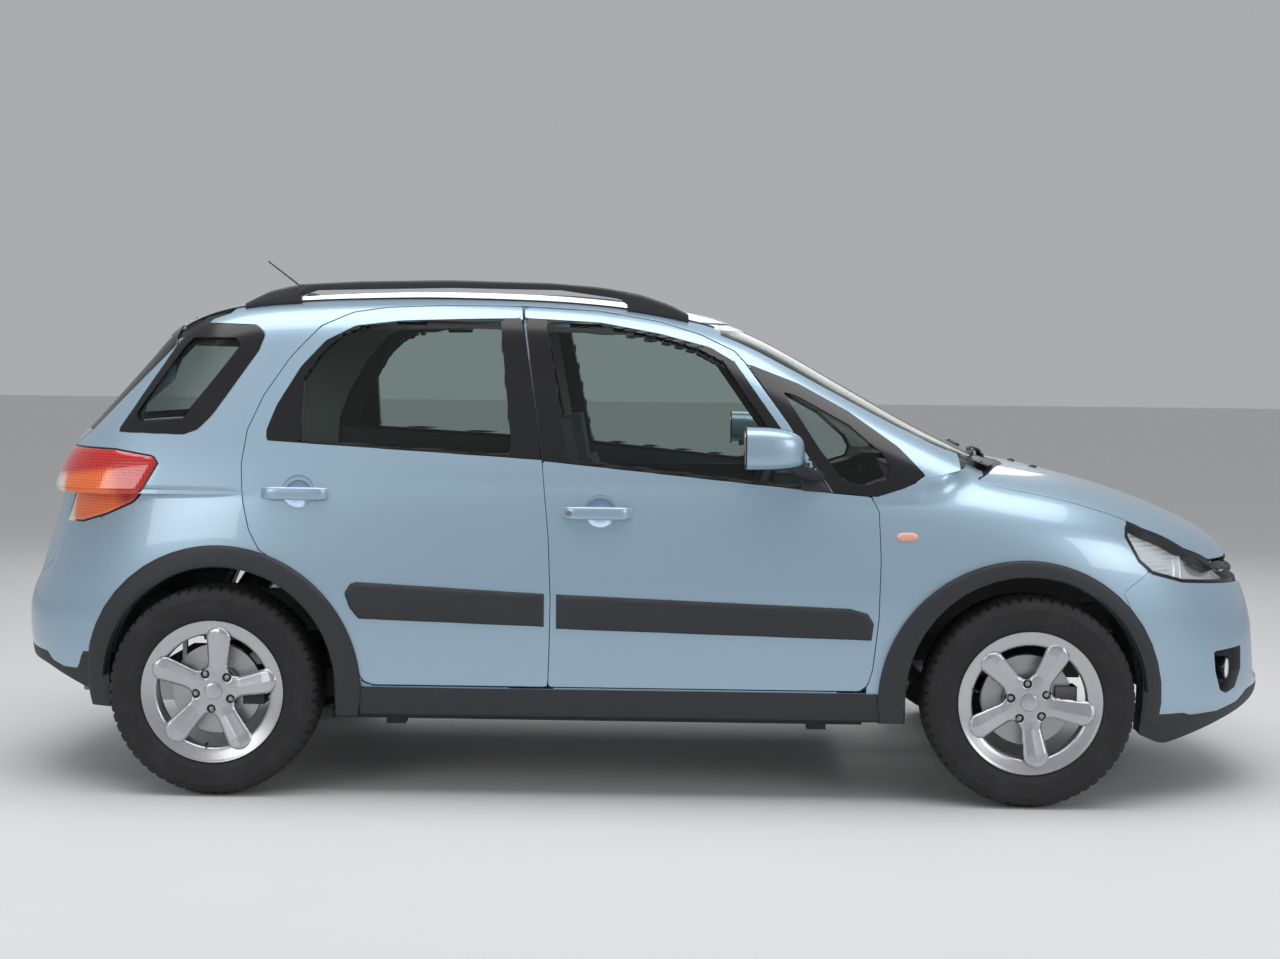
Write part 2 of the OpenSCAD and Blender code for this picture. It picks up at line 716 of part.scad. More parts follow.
// Roof rails and aerial
rail_y = 560;
rail_wide = 30;
rail_top = [[-1262, 1519], [-1176, 1562], [-1081, 1583], [-891, 1594], [-607, 1600], [-291, 1594], [-134, 1582],
  [-8, 1561], [87, 1529], [150, 1497]];
rail_under = [[-48, 1526], [-70, 1545], [-260, 1571], [-606, 1575], [-1030, 1564], [-1081, 1545]];
module roof_rails() {
  color("dimgray")
    difference() {
      union() {
        for (s = [-1, 1])
          translate([0, s * sy(rail_y) + rail_wide / 2, 0]) rotate([90, 0, 0]) linear_extrude(rail_wide)
            polygon(place(concat(rail_top, [[150, 1440], [-48, 1440]], rail_under, [[-1081, 1470], [-1262, 1470]])));
        translate([sx(-1149), 0, sz(1540)]) {
          translate([-35, -14, 0]) cube([70, 28, 36]);
          rotate([0, -49, 0]) cylinder(h = 218, r = 3.5, $fn = 16);
        }
      }
      form(-0.4);
    }
}

// Underbody, all flat below the cabin
jack_stations = [-760, 560];
jack_level = 205;
jack_half = 30;
floor_top = 250 - seam_gap;
floor_under = floor_top - floor_thick;
floor_half = sy(700);
boot_under = 455;
boot_half = sy(560);
tunnel_half = 132;
tunnel_wall = 18;
tunnel_top = floor_under + 100;
firewall_back = sx(700) - 30;
rail_y_front = 400;
// Tie-down eyes: station and height of their bores
lug_bore = 14;
lug_outer = 26;
lug_thick = 12;
lug_y = 300;
lug_front = [sx(650), 198];
lug_rear = [sx(-1760), 285];
module lugs(at, top) {
  for (s = [-1, 1])
    translate([at[0], s * lug_y + lug_thick / 2, at[1]]) rotate([90, 0, 0])
      difference() {
        union() {
          cylinder(h = lug_thick, r = lug_outer);
          translate([-lug_outer, 0, 0]) cube([2 * lug_outer, top - seam_gap - at[1], lug_thick]);
        }
        translate([0, 0, -1]) cylinder(h = lug_thick + 2, r = lug_bore);
      }
}
module floor_pan() {
  color("gray") {
    difference() {
      union() {
        translate([sx(-960), -floor_half, floor_under])
          cube([sx(700) - sx(-960), 2 * floor_half, floor_thick]);
        translate([sx(-960) + floor_thick + seam_gap, -tunnel_half - tunnel_wall, floor_under])
          cube([firewall_back - seam_gap - sx(-960) - floor_thick - seam_gap, 2 * (tunnel_half + tunnel_wall), 100]);
      }
      translate([sx(-1000), -tunnel_half, 0])
        cube([sx(760) - sx(-1000), 2 * tunnel_half, tunnel_top - 16]);
    }
    difference() {
      union() {
        translate([firewall_back, -569, floor_top + seam_gap]) cube([30, 2 * 569, 696 - seam_gap]);
        translate([sx(-960), -boot_half, floor_top + seam_gap])
          cube([floor_thick, 2 * boot_half, boot_under - floor_top - 2 * seam_gap]);
      }
      translate([sx(-1000), -tunnel_half, 0]) cube([sx(760) - sx(-1000), 2 * tunnel_half, tunnel_top - 16]);
    }
    translate([sx(-1835), -boot_half, boot_under]) cube([sx(-950) - sx(-1835), 2 * boot_half, floor_thick]);
    for (s = [-1, 1]) {
      translate([sx(700) + seam_gap, s * rail_y_front - 30, 390]) cube([sx(1840) - sx(700) - 2 * seam_gap, 60, 90]);
      for (x = jack_stations)
        translate([sx(x) - jack_half, s * 650 - jack_half, jack_level])
          cube([2 * jack_half, 2 * jack_half, floor_under - seam_gap - jack_level]);
    }
    translate([sx(1840), -460, 370]) cube([40, 920, 110]);
    lugs(lug_front, floor_under);
    lugs(lug_rear, boot_under);
  }
}
module engine_block() {
  color("silver")
    translate([sx(960), -369.7, 330]) cube([sx(1440) - sx(960), 739.4, 500]);
}
// A caliper reaches over the brake disc's front edge, on a bracket from what carries it
caliper_half = 45;
caliper_room = 4;
caliper_in = 28;
caliper_out = 18;
module caliper(x, s, carried) {
  inner = half_track - caliper_in;
  difference() {
    union() {
      translate([x + disc_radius - 56, s > 0 ? inner : -half_track - disc_thick - caliper_out, axle_height - caliper_half])
        cube([66, caliper_in + disc_thick + caliper_out, 2 * caliper_half]);
      translate([x + 30, s > 0 ? carried : -inner - 12, axle_height - 22]) cube([70, inner + 12 - carried, 44]);
    }
    translate([x, s > 0 ? half_track - caliper_room : -half_track - disc_thick - caliper_room, axle_height])
      rotate([-90, 0, 0]) cylinder(h = disc_thick + 2 * caliper_room, r = disc_radius + caliper_room);
  }
}
module rear_axle() {
  color("gray") {
    for (s = [-1, 1]) caliper(axle_rear, s, 620);
    translate([axle_rear + 170, -600, axle_height - 20]) cube([90, 1200, 70]);
    for (s = [-1, 1]) {
      translate([axle_rear - 50, s * 600 - 30, axle_height - 45]) cube([400, 60, 90]);
      translate([axle_rear, s * 600, axle_height]) rotate([s * -90, 0, 0])
        cylinder(h = half_track - 600 + 20, r = stub_radius);
      translate([axle_rear, s * 600, axle_height]) cylinder(h = 455 - axle_height - 0.3, r = 40);
    }
  }
}
kingpin_y = 700;
arm_end = kingpin_y + 14;
module front_subframe() {
  color("gray") {
    translate([axle_front - 160, -330, 215]) cube([320, 660, 60]);
    for (s = [-1, 1]) {
      translate([axle_front - 40, s > 0 ? 329 : -arm_end, 200]) cube([80, arm_end - 329, 30]);
      translate([axle_front - 40, s * 400 - 30, 214]) cube([80, 60, 175.7]);
    }
  }
}
module knuckle(s) {
  color("dimgray") {
    caliper(axle_front, s, kingpin_y - 10);
    translate([axle_front - 35, s * kingpin_y - 32, 262]) cube([70, 64, 130]);
    translate([axle_front, s * kingpin_y, axle_height]) rotate([s * -90, 0, 0])
      cylinder(h = half_track - kingpin_y + 20, r = stub_radius);
    translate([axle_front, s * kingpin_y, 230 + seam_gap]) cylinder(h = 40, r = 14);
  }
}
module knuckle_right() { knuckle(-1); }
module knuckle_left() { knuckle(1); }
module exhaust() {
  color("silver") {
    translate([sx(-1560), 0, 245]) rotate([0, 90, 0]) cylinder(h = sx(925) - sx(-1560), r = 25);
    translate([sx(915), 0, 245]) cylinder(h = 150, r = 25);
    translate([sx(915), 0, 390]) rotate([0, 90, 0]) cylinder(h = sx(960) - sx(915) - seam_gap, r = 26);
    translate([sx(-1640), -250, 190]) cube([260, 500, 120]);
    translate([sx(-1900), -190, 232]) rotate([0, 90, 0])
      difference() {
        cylinder(h = sx(-1640) - sx(-1900) + 1, r = 22);
        translate([0, 0, -1]) cylinder(h = 180, r = 19);
      }
    for (s = [-1, 1]) translate([sx(-1560), s * 200 - 10, 300]) cube([14, 20, 155 - seam_gap]);
  }
}
module hinges() {
  color("dimgray")
    both_sides()
      for (front = [false, true])
        for (z = hinge_levels) {
          h = front ? hinge_front : hinge_rear;
          edge = sx(min([for (u = [-arm_half, arm_half]) lookup(z + u, front ? hinge_edge_front : hinge_edge_rear)]));
          translate([h[0], h[1], z]) {
            translate([0, 0, -arm_half]) cylinder(h = 2 * arm_half, r = 12);
            translate([-12, -arm_reach, -arm_half]) cube([14, arm_reach, 2 * arm_half]);
            translate([-12, -arm_reach, -arm_half])
              cube([12 + edge - h[0] - (front ? flange_step : flange_rear) - 2 * seam_gap, 12, 2 * arm_half]);
            translate([0, 0, -40]) cylinder(h = 80, r = pin_radius);
          }
        }
  color("dimgray")
    for (s = [-1, 1]) {
      translate([tailgate_hinge[0], s * tailgate_hinge_y, tailgate_hinge[1]]) rotate([90, 0, 0])
        cylinder(h = 66, r = lid_pin, center = true);
      translate([bonnet_hinge[0], s > 0 ? strap_y - 16 : -bonnet_pin_y + 0.3, bonnet_hinge[1]]) rotate([-90, 0, 0])
        cylinder(h = bonnet_pin_y - 0.3 - strap_y + 16, r = lid_pin);
    }
}

// Cabin
module dashboard() {
  color("dimgray") {
    translate([sx(470), -620, 700]) cube([firewall_back - seam_gap - sx(470), 1240, 210]);
    translate([sx(470), 210, 909]) cube([120, 320, 50]);
    translate([sx(380), -110, tunnel_top + seam_gap]) cube([sx(560) - sx(380), 220, 701 - tunnel_top - seam_gap]);
    translate([sx(-150), -90, tunnel_top + seam_gap]) cube([sx(381) - sx(-150), 180, 130]);
    translate([sx(330), 0, tunnel_top + 120]) {
      cylinder(h = 120, r = 8);
      translate([0, 0, 130]) sphere(r = 24);
    }
    translate([sx(400), 370, 880]) rotate([0, 115, 0]) rotate_extrude() translate([steering_radius - 14, 0])
      circle(r = 14, $fn = 24);
    translate([sx(400), 370, 880]) rotate([0, 115, 0]) {
      translate([-14, -steering_radius + 14, -8]) cube([28, 2 * steering_radius - 28, 16]);
      cylinder(h = 30, r = 60);
      cylinder(h = 110, r = 25);
    }
  }
}
module one_seat(x, y, w) {
  translate([x, y - w / 2, 330]) cube([480, w, 130]);
  for (u = [-1, 1]) translate([x + 40, y + u * 175 - 20, 250]) cube([360, 40, 81]);
  translate([x, y - w / 2, 380]) rotate([0, -14, 0]) cube([110, w, 620]);
  translate([x - 146, y - 120, 960]) rotate([0, -10, 0]) cube([90, 240, 190]);
}
module seats() {
  color("gray") {
    for (s = [-1, 1]) one_seat(sx(-150), s * 370, seat_width);
    translate([sx(-850), -540, 336]) cube([470, 1080, 184]);
    for (s = [-1, 1]) translate([sx(-850), s > 0 ? 180 : -540, 250]) cube([470, 360, 87]);
    translate([sx(-850), -540, 400]) rotate([0, -18, 0]) cube([110, 1080, 620]);
  }
}

// Fittings of the doors: mirrors, handles and mouldings, seated on the skin
moulding_rear = [[-894, 636], [-876, 665], [-858, 670], [-284, 641], [-284, 540], [-851, 557], [-879, 592]];
moulding_front = [[-247, 640], [190, 624], [645, 608], [700, 593], [718, 562], [712, 511], [-247, 534]];
moulding_out = 12;
module handle(at, s) {
  translate([sx(at[0] - 10), s * (half_width - 50), at[1] - 5]) rotate([s * -90, 0, 0])
    difference() {
      hull() {
        for (u = [-90, 90]) translate([u, 0, 0]) {
          cylinder(h = 56, r = 20, $fn = 16);
          cylinder(h = 64, r = 12, $fn = 16);
        }
      }
      translate([-72, -30, -1]) cube([144, 60, 50]);
    }
}
module moulding(outline, s) {
  intersection() {
    low_form(-moulding_out);
    through(outline);
    translate([-3000, s > 0 ? 700 : -1700, 0]) cube([6000, 1000, 1000]);
  }
}
module fittings_front(s) {
  color("dimgray")
    difference() {
      union() {
        hull() {
          for (y = [870, 988]) for (z = [1052, 1137])
            translate([sx(342), s * sy(y), z]) sphere(r = 22, $fn = 12);
          for (y = [885, 968]) for (z = [1056, 1112])
            translate([sx(470), s * sy(y), z]) sphere(r = 26, $fn = 12);
        }
        hull() {
          translate([sx(470), s * sy(900) - 25, 1034]) cube([30, 50, 24]);
          translate([sx(525), s * sy(790) - 20, 985]) cube([36, 40, 40]);
        }
        handle(handle_front, s);
        moulding(moulding_front, s);
      }
      form(-0.3);
    }
}
module fittings_rear(s) {
  color("dimgray")
    difference() {
      union() {
        handle(handle_rear, s);
        moulding(moulding_rear, s);
      }
      form(-0.3);
    }
}
module fittings_front_right() { fittings_front(-1); }
module fittings_front_left() { fittings_front(1); }
module fittings_rear_right() { fittings_rear(-1); }
module fittings_rear_left() { fittings_rear(1); }

// Wheels and tyres
module tyre(x, s) {
  color("dimgray")
    translate([x, s * half_track, axle_height]) rotate([90, 0, 0])
      rotate_extrude($fn = 72)
        polygon([[rim_radius - 4, -tyre_width / 2 + 18], [rim_radius + 24, -tyre_width / 2 + 4],
          [rim_radius + 60, -tyre_width / 2], [tyre_radius - 18, -tyre_width / 2 + 10],
          [tyre_radius, -tyre_width / 2 + 34], [tyre_radius, tyre_width / 2 - 34],
          [tyre_radius - 18, tyre_width / 2 - 10], [rim_radius + 60, tyre_width / 2],
          [rim_radius + 24, tyre_width / 2 - 4], [rim_radius - 4, tyre_width / 2 - 18]]);
}
// Rim: thin shell with lip, bead seats and drop centre, as radius and place along the axle
rim_shell = [[-4.3, 85], [0, 87.4], [0, 92], [-5, 94], [-14, 90], [-26, 84], [-45, 74], [-45, 40], [-40, 34],
  [-36, 0], [-16, -16], [-12, -84], [-4.3, -84.2], [-4.3, -10], [-28, 6], [-28, 44], [-4.3, 60]];
hub_radius = 84;
cap_radius = 27;
spoke_reach = rim_radius - 20;
module spokes_plan(turn) {
  circle(r = hub_radius);
  for (k = [0:spokes - 1])
    rotate(turn + k * 360 / spokes) {
      polygon([[50, -36], [100, -31], [spoke_reach - 36, -37], [spoke_reach - 36, 37], [100, 31], [50, 36]]);
      translate([spoke_reach - 37, 0]) circle(r = 37);
    }
}
// Section of the spokes and hub, dished outwards to the rim
spoke_section = [[0, 44], [rim_radius - 50, 50], [spoke_reach + 5, 54], [spoke_reach + 5, 84], [spoke_reach - 10, 91],
  [spoke_reach - 30, 88], [120, 79], [hub_radius, 73], [0, 72]];
module wheel(x, s, turn) {
  color("silver")
    translate([x, s * half_track, axle_height]) rotate([s > 0 ? -90 : 90, 0, 0]) {
      difference() {
        union() {
          rotate_extrude($fn = 72) polygon([for (p = rim_shell) [rim_radius + p[0], p[1]]]);
          intersection() {
            linear_extrude(120) spokes_plan(turn);
            rotate_extrude($fn = 72) polygon(spoke_section);
          }
          cylinder(h = 50, r = 60);
          cylinder(h = disc_thick, r = disc_radius);
        }
        translate([0, 0, -30]) cylinder(h = 51, r = stub_radius + 0.05);
        difference() {
          translate([0, 0, 68]) cylinder(h = 30, r = cap_radius + 6);
          translate([0, 0, 60]) cylinder(h = 16, r = cap_radius);
        }
        for (k = [0:spokes - 1])
          rotate([0, 0, turn - 36 + k * 360 / spokes])
            translate([nut_ring_radius, 0, 54]) cylinder(h = 40, r = 15);
      }
    }
}
module tyre_front_right() { tyre(axle_front, -1); }
module tyre_front_left() { tyre(axle_front, 1); }
module tyre_rear_right() { tyre(axle_rear, -1); }
module tyre_rear_left() { tyre(axle_rear, 1); }
module wheel_front_right() { wheel(axle_front, -1, 60); }
module wheel_front_left() { wheel(axle_front, 1, 60); }
module wheel_rear_right() { wheel(axle_rear, -1, 82); }
module wheel_rear_left() { wheel(axle_rear, 1, 82); }

module front_door(side) { door(door_front_outline, window_front_outline, hinge_front, handle_front, side); }
module rear_door(side) { door(door_rear_outline, window_rear_outline, hinge_rear, handle_rear, side); }
module door_front_right() { color("lightsteelblue") front_door(-1); }
module door_front_left() { color("lightsteelblue") front_door(1); }
module door_rear_right() { color("lightsteelblue") rear_door(-1); }
module door_rear_left() { color("lightsteelblue") rear_door(1); }
module glass_front_right() { color([0.5, 0.6, 0.58, 0.5]) pane(window_front_outline, -0.3, -1); }
module glass_front_left() { color([0.5, 0.6, 0.58, 0.5]) pane(window_front_outline, -0.3, 1); }
module glass_rear_right() { color([0.5, 0.6, 0.58, 0.5]) pane(window_rear_outline, -0.3, -1); }
module glass_rear_left() { color([0.5, 0.6, 0.58, 0.5]) pane(window_rear_outline, -0.3, 1); }

body_shell();
roof();
fixed_glass();
front_wings();
bonnet();
front_bumper();
grille();
rear_bumper();
headlamps();
tail_lamps();
tailgate();
tailgate_glass();
cladding();
cowl();
roof_rails();
floor_pan();
engine_block();
rear_axle();
front_subframe();
knuckle_right();
knuckle_left();
exhaust();
hinges();
dashboard();
seats();
tyre_front_right();
tyre_front_left();
tyre_rear_right();
tyre_rear_left();
wheel_front_right();
wheel_front_left();
wheel_rear_right();
wheel_rear_left();
door_front_right();
door_front_left();
door_rear_right();
door_rear_left();
glass_front_right();
glass_front_left();
glass_rear_right();
glass_rear_left();
fittings_front_right();
fittings_front_left();
fittings_rear_right();
fittings_rear_left();
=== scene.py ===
"""Dresses the compact crossover: smooth painted panels, glass, lamps, wheels, cabin and studio."""
import math

import bpy
import numpy as np
from mathutils import Matrix, Vector


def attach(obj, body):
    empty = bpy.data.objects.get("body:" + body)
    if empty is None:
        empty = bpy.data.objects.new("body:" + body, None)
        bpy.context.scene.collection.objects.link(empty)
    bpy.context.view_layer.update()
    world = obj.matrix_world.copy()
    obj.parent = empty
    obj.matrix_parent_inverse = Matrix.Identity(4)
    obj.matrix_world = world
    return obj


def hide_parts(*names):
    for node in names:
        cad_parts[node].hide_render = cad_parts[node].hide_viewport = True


bl_info = {
    "name": "Compact Crossover Dress",
    "version": (1, 0, 0),
    "blender": (4, 5, 0),
    "location": "View3D > Sidebar > Crossover",
    "description": "Builds the visible skins, glass, lamps, wheels and cabin over the jointed frame",
    "category": "Add Mesh",
}

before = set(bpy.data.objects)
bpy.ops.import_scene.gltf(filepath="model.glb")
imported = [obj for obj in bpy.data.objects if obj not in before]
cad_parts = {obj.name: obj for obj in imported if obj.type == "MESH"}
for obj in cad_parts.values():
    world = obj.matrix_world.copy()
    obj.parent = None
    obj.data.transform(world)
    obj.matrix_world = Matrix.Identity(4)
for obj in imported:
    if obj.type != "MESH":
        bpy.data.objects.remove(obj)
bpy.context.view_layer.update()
MM = 0.001
SHIFT = -10.5  # a drawn station's place on the car, in millimetres
RIGHT, LEFT = -1, 1
SIDES = (RIGHT, LEFT)
AHEAD, UP = np.array([1.0, 0.0, 0.0]), np.array([0.0, 0.0, 1.0])
FRONT_MIDDLE, REAR_MIDDLE = 1200.0, -1300.0  # stations that the charts of nose and tail look out from
RING_HEIGHT = 800.0  # height of the line that the charts round the body look out from
CANT_HALF = 560.0  # half width between the roof rails' middles
GLASS_DEPTH = 6.8  # how far the panes lie inside the body's form
BONNET_END = 745.0  # height of the bonnet's front edge
BONNET_HINGE = (979.5, 975.0)  # place along and height of the bonnet's hinge axis
THIN_CURL = 0.6  # how far the edge of a thin black frame bends out before it turns in
FREE = -500.0  # a distance that trims nothing
SIDE_NAME = {RIGHT: "right", LEFT: "left"}

# The body's form: the same lines as the source, in drawn stations and heights
LINES = {
    "side_low": (30, [(180, 792), (260, 815), (330, 828), (450, 840), (600, 849), (720, 846), (850, 833),
                      (1000, 815), (1120, 800)]),
    "side_high": (30, [(900, 822), (1000, 806), (1060, 790), (1200, 745), (1350, 693), (1470, 655),
                       (1560, 630)]),
    "bonnet": (30, [(-600, 1150), (380, 1150), (1000, 1065), (1184, 1031), (1306, 1012), (1450, 980),
                    (1600, 934), (1760, 870), (1880, 812), (1960, 755), (2010, 680), (2040, 580),
                    (2064, 380)]),
    "nose": (14, [(180, 1975), (225, 2005), (270, 2056), (310, 2068), (400, 2056), (500, 2048), (590, 2030),
                  (680, 2000), (780, 1980), (1000, 1950)]),
    "tail": (14, [(180, -1960), (310, -2003), (360, -2032), (440, -2044), (545, -2045), (610, -2024),
                  (690, -1980), (820, -1944), (960, -1914), (1030, -1886), (1075, -1780), (1120, -1640)]),
    "screen": (20, [(940, 1340), (1023, 1180), (1060, 1092), (1158, 883), (1293, 640), (1411, 431),
                    (1489, 262), (1560, 60)]),
    "rear_glass": (20, [(940, -1905), (1041, -1876), (1100, -1824), (1232, -1714), (1354, -1614),
                        (1476, -1528), (1560, -1465)]),
    "roof": (60, [(-1620, 1400), (-1500, 1488), (-1300, 1540), (-1000, 1564), (-680, 1575), (-300, 1566),
                  (0, 1541), (255, 1495), (600, 1420)]),
    "under": (12, [(-2042, 385), (-1890, 368), (-1750, 315), (-1640, 280), (-1500, 250), (1480, 250),
                   (1640, 170), (1780, 208), (1915, 250), (2064, 312)]),
}
SPAN = np.arange(-2300.0, 2300.0, 2.0)


def soft_line(width, corners):
    """Straight runs through corners, joined by bends: each adds its change of slope times a soft ramp."""
    c = np.array(corners, float)
    slopes = np.diff(c[:, 1]) / np.diff(c[:, 0])
    out = c[0, 1] + slopes[0] * (SPAN - c[0, 0])
    for k in range(1, len(slopes)):
        out = out + (slopes[k] - slopes[k - 1]) * width * np.logaddexp(0, (SPAN - c[k, 0]) / width)
    return out


TABLES = {name: soft_line(*spec) for name, spec in LINES.items()}


def line(name, v):
    """A line of the body's form at a station or height."""
    return np.interp(v, SPAN, TABLES[name])


def cap(u, n):
    """A rounded edge: (1 - u^n)^(1/n), 1 where u is negative and 0 past 1."""
    u = np.clip(u, 0, 1)
    return (1 - u ** n) ** (1 / n)


def half_low(x, z, t):
    """Half width of the lower body: the side line times its rounded top, nose and tail, drawn in by t."""
    top = line("bonnet", x) - 0.35 * t
    nose = line("nose", z) - t
    tail = line("tail", z) + t
    return ((line("side_low", z) - t) * cap((z - top + 330) / 330, 4) * cap((x - 900) / (nose - 900), 2.7)
            * cap((-900 - x) / (-900 - tail), 3.2))


def half_high(x, z, t):
    """Half width of the cabin: the side line times its rounded roof, screen and glass, drawn in by t."""
    top = np.maximum(line("roof", x), 1400) - t
    screen = line("screen", z) - 1.2 * t
    glass = line("rear_glass", z) + t
    return ((line("side_high", z) - t) * cap((z - 1350) / (top - 1350), 4.5)
            * cap((x - screen + 600) / 600, 4.5) * cap((glass + 450 - x) / 450, 3.5))


def half(x, z, t=0.0):
    """Half width of the whole body at a drawn station and height."""
    high = np.where(z > 930, half_high(x, z, t), 0)
    return np.maximum(half_low(x, z, t), high)


def cast(origin, direction, near, far, t=0.0, form=None):
    """Where each ray leaves the body: the interval from near to far is halved until the edge is found."""
    width = form or half
    low = np.full(origin.shape[:-1], float(near))
    high = np.full(origin.shape[:-1], float(far))
    for _ in range(24):
        mid = (low + high) / 2
        p = origin + direction * mid[..., None]
        inside = np.abs(p[..., 1]) < width(p[..., 0], p[..., 2], t)
        low = np.where(inside, mid, low)
        high = np.where(inside, high, mid)
    return origin + direction * ((low + high) / 2)[..., None]


def height(points, x):
    """Height of a line through (station, height) points."""
    return np.interp(x, *np.array(points).T)


def eased(*shares):
    """A soft step, level at both ends: 3 u^2 - 2 u^3, with u the product of shares held to 0 and 1."""
    u = 1.0
    for share in shares:
        u = u * np.clip(share, 0, 1)
    return u * u * (3 - 2 * u)


def axes(points):
    """Stations, places across and heights of a chart."""
    return points[..., 0], points[..., 1], points[..., 2]


def within(*distances):
    """The largest of several signed distances: negative where all of them are."""
    return np.maximum.reduce(distances)


def steps(a, b, size):
    """Even steps from a to b, none longer than size."""
    return np.linspace(a, b, max(2, int(abs(b - a) / size) + 1))


def side_chart(x0, x1, z0, z1, size=14, t=0.0):
    """The right side over a grid of stations and heights: y is minus the half width."""
    x, z = np.meshgrid(steps(x0, x1, size), steps(z0, z1, size), indexing="ij")
    return np.stack([x, -half(x, z, t), z], -1)


def chart_round(outline, margin, size, t=0.0, above=None):
    """The right side over the box of an outline, with a margin round it or another one above it."""
    (x0, z0), (x1, z1) = np.min(outline, 0), np.max(outline, 0)
    above = margin if above is None else above
    return side_chart(x0 - margin, x1 + margin, z0 - margin, z1 + above, size, t)


def top_chart(x0, x1, y0, y1, size=16, t=0.0, form=None):
    """The body seen from above: rays straight up from inside."""
    x, y = np.meshgrid(steps(x0, x1, size), steps(y0, y1, size), indexing="ij")
    origin = np.stack([x, y, np.full_like(x, 700)], -1)
    return cast(origin, UP, 0, 1000, t, form)


def ring_chart(x0, x1, a0, a1, size=16, t=0.0, count=70):
    """Right half of the body round a line along it: rays at each station, angles a0 to a1 over the level."""
    x, a = np.meshgrid(steps(x0, x1, size), np.linspace(math.radians(a0), math.radians(a1), count),
                       indexing="ij")
    origin = np.stack([x, np.zeros_like(x), np.full_like(x, RING_HEIGHT)], -1)
    direction = np.stack([np.zeros_like(a), -np.cos(a), np.sin(a)], -1)
    return cast(origin, direction, 20, 1500, t)


def end_chart(xc, a0, a1, z0, z1, t=0.0, size=14, count=110):
    """An end of the body round an upright line at station xc: level rays, angles a0 to a1 from forwards."""
    a, z = np.meshgrid(np.linspace(math.radians(a0), math.radians(a1), count), steps(z0, z1, size),
                       indexing="ij")
    origin = np.stack([np.full_like(a, xc), np.zeros_like(a), z], -1)
    direction = np.stack([np.cos(a), np.sin(a), np.zeros_like(a)], -1)
    return cast(origin, direction, 10, 1600, t)


def outside(u, v, outline):
    """Signed distance to a closed outline: negative inside it."""
    a = np.array(outline, float)
    b = np.roll(a, -1, 0)
    shape = u.shape
    p = np.stack([u.ravel(), v.ravel()], -1)
    best = np.full(len(p), 1e9)
    odd = np.zeros(len(p), bool)
    for s, e in zip(a, b):
        d = e - s
        k = np.clip(((p - s) @ d) / (d @ d), 0, 1)
        best = np.minimum(best, np.hypot(*(p - s - k[:, None] * d).T))
        cross = (s[1] > p[:, 1]) != (e[1] > p[:, 1])
        with np.errstate(divide="ignore", invalid="ignore"):
            at = s[0] + (p[:, 1] - s[1]) * (e[0] - s[0]) / (e[1] - s[1])
        odd ^= cross & (p[:, 0] < at)
    return (best * np.where(odd, -1, 1)).reshape(shape)


def beyond(points, arch):
    """Distance outside a wheel opening: a circle, and straight down from its middle."""
    x, _, z = axes(points)
    down = np.abs(x - arch[0])
    circle = np.hypot(x - arch[0], z - arch[1])
    return np.where(z > arch[1], circle, down) - arch[2]


def grid_normals(points):
    """Unit normals of a chart from the cross product of its two directions."""
    n = np.cross(np.gradient(points, axis=0), np.gradient(points, axis=1))
    return n / np.maximum(np.linalg.norm(n, axis=-1, keepdims=True), 1e-9)


def looks_in(points, normals):
    """Whether a chart's normals look towards the car's middle."""
    middle = points.reshape(-1, 3).mean(0) * [0.5, 0, 0] + [0, 0, 800]
    return ((points - middle) * normals).sum(-1).mean() < 0


def rim_edges(faces):
    """The edges that belong to one face only."""
    edges = np.concatenate([faces[:, [0, 1]], faces[:, [1, 2]], faces[:, [2, 0]]])
    _, first, counts = np.unique(np.sort(edges, 1), axis=0, return_index=True, return_counts=True)
    return edges[first[counts == 1]]


def strips(near, far):
    """Two faces between each pair of neighbours in two rows of point numbers."""
    near2, far2 = np.roll(near, -1, 1), np.roll(far, -1, 1)
    return [np.stack([near, near2, far2], -1).reshape(-1, 3), np.stack([near, far2, far], -1).reshape(-1, 3)]


